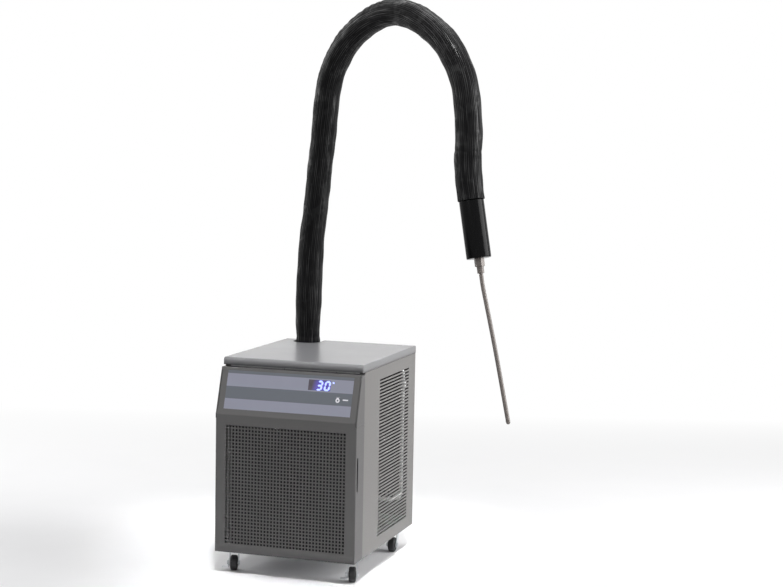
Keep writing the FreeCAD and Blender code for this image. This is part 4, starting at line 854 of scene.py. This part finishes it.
def digits():
    """Seven-segment digits, leaning, with a lit core and a wider dim glow under it."""
    for name, finish, width, low, high in (("digit_glow", GLOW, 5.2, 0.12, 0.22),
                                           ("digit_cores", DIGIT, 2.4, 0.12, 0.40)):
        skin = Skin()
        for left, lit in ((72.4, "abgcd"), (92.0, "abcdef")):
            for segment in lit:
                ends = np.array(SEGMENTS[segment], float)
                place = ends * (DIGIT_WIDTH, DIGIT_HEIGHT) + (0, DIGIT_FOOT)
                place[:, 0] += left + (place[:, 1] - DIGIT_MIDDLE) * SLANT
                bar(skin, place[0], place[1], width, low, high)
        bar(skin, (110.4, 97.0), (114.6, 92.6), width * 0.9, 0.72, high + 0.6)
        skin.build(name, "cover", finish, closed=True)


KEY_MARK = (128.0, 52.8)


def key_marks():
    """Light ring with a pointed top on the key, and the dash beside it."""
    skin = Skin()
    turn = np.linspace(0, 2 * math.pi, 48, endpoint=False)
    ring = np.stack([np.cos(turn), np.sin(turn)], axis=-1)
    outer = ring * (5.2, 5.4) + (0.0, 2.2) * np.exp(-((turn[:, None] - math.pi / 2) / 0.45) ** 2)
    outer = outer + KEY_MARK
    inner = ring * (2.2, 2.5) + KEY_MARK
    top = 2.2 - 0.8 + 0.05
    rows = [(outer, top - 0.15), (outer, top + 0.05), (inner, top + 0.05), (inner, top - 0.15)]
    skin.grid(np.stack([on_slope(r[:, 0], r[:, 1], out) for r, out in rows]), around=True)
    for x, up in ((-3.5, 60.0), (0.0, 60.9), (3.5, 60.0)):
        bar(skin, (KEY_MARK[0] + x, up), (KEY_MARK[0] + x * 1.15, up + 1.2), 0.9, top - 0.15, top + 0.05)
    skin.build("key_symbol", "key", MARK, closed=True)
    dash = Skin()
    outline = rounded([(147, 56.4), (154.5, 56.4), (154.5, 53.4), (140.5, 53.4), (140.5, 56.4), (147, 56.4)],
                      (1.2,) * 4, 4)[:-1]
    prism(dash, outline, 0.60, 0.68)
    dash.build("overlay_dash", "cover", MARK, closed=True)


# casters

def caster_wheels():
    """Turned wheels: rounded tread, stepped side and a raised hub on each face."""
    for tag in ("front_left", "front_right", "rear_left", "rear_right"):
        swivel = math.radians(SWIVEL[tag[:-5] if tag.endswith("_left") else tag[:-6]])
        low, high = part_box("caster_wheel_" + tag)
        middle = (np.array(low) + np.array(high)) / 2 / MM
        half = rounded([(-9.5, 3.3), (-9.5, 7.0), (-7.6, 8.6), (-7.6, 13.0), (-8.8, 14.6), (-8.6, 19.0),
                        (0.0, 19.0)], (0.4, 0.8, 0.8, 0.8, 4.6), 5)
        other = half[::-1] * (-1, 1)
        bore = np.array([(9.5, 3.3), (-9.5, 3.3)])
        skin = Skin()
        turned(skin, np.concatenate([half, other[1:], bore[1:]]), middle,
               (math.cos(swivel), math.sin(swivel), 0.0), 72)
        skin.build("wheel_" + tag, "wheel_" + tag, TREAD, ("caster_wheel_" + tag,),
                   closed=True, angle=40)


# studio

DOME = 0.20
POWER = {"side": 64.0, "top": 48.0, "front": 16.0, "left": 38.0, "lid": 2.0}


def studio():
    plane = Skin()
    xs = np.linspace(-14000, 14000, 3)
    x, y = np.meshgrid(xs, xs + 4000)
    plane.grid(np.stack([x, y, np.zeros_like(x)], axis=-1), (0.0, 0.0, 1.0))
    mesh = bpy.data.meshes.new("studio_floor")
    mesh.from_pydata((np.concatenate(plane.points) * MM).tolist(), [], plane.faces)
    mesh.materials.append(studio_floor())
    floor = bpy.data.objects.new("studio_floor", mesh)
    bpy.context.scene.collection.objects.link(floor)

    world = bpy.data.worlds.new("studio")
    bpy.context.scene.world = world
    world.use_nodes = True
    tree = world.node_tree
    dome = tree.nodes["Background"]
    rays = tree.nodes.new("ShaderNodeLightPath")
    seen = Link(tree, rays.outputs["Is Camera Ray"]).sum(
        "MAXIMUM", Link(tree, rays.outputs["Is Glossy Ray"])).sum(
        "MAXIMUM", Link(tree, rays.outputs["Is Transmission Ray"]))
    strength = seen * (1.0 - DOME) + DOME
    dome.inputs["Color"].default_value = (1.0, 1.0, 1.0, 1.0)
    tree.links.new(strength.socket, dome.inputs["Strength"])

    lamp("side_box", (2.6, 0.4, 1.3), (0.0, 0.0, 0.32), 1.8, 1.6, POWER["side"])
    lamp("top_box", (0.2, 0.6, 3.2), (0.0, 0.0, 0.4), 2.4, 2.0, POWER["top"])
    lamp("front_fill", (-0.9, -3.0, 2.4), (0.0, 0.0, 0.5), 1.6, 1.2, POWER["front"])
    lamp("left_fill", (-2.8, 0.6, 1.8), (-0.6, 0.0, 0.0), 1.8, 1.4, POWER["left"])
    lamp("lid_box", (0.5, -1.0, 2.3), (0.10, -0.18, 0.54), 0.9, 0.9, POWER["lid"], spread=13.0)


def lamp(name, place, aim, width, height, power, spread=180.0):
    """A soft box that faces its aim; a small spread keeps its light on what it faces."""
    light = bpy.data.lights.new(name, "AREA")
    light.shape = "RECTANGLE"
    light.size, light.size_y = width, height
    light.energy = power
    light.spread = math.radians(spread)
    holder = bpy.data.objects.new(name, light)
    bpy.context.scene.collection.objects.link(holder)
    holder.location = place
    holder.rotation_euler = (Vector(aim) - Vector(place)).to_track_quat("-Z", "Y").to_euler()


bpy.context.scene.view_settings.view_transform = "Standard"
photographer()
jacket, route_line, jacket_length = hose_jacket()
grip = probe_handle()
dress_nodes()
front_cover()
lid_sheet()
digits()
key_marks()
caster_wheels()
studio()
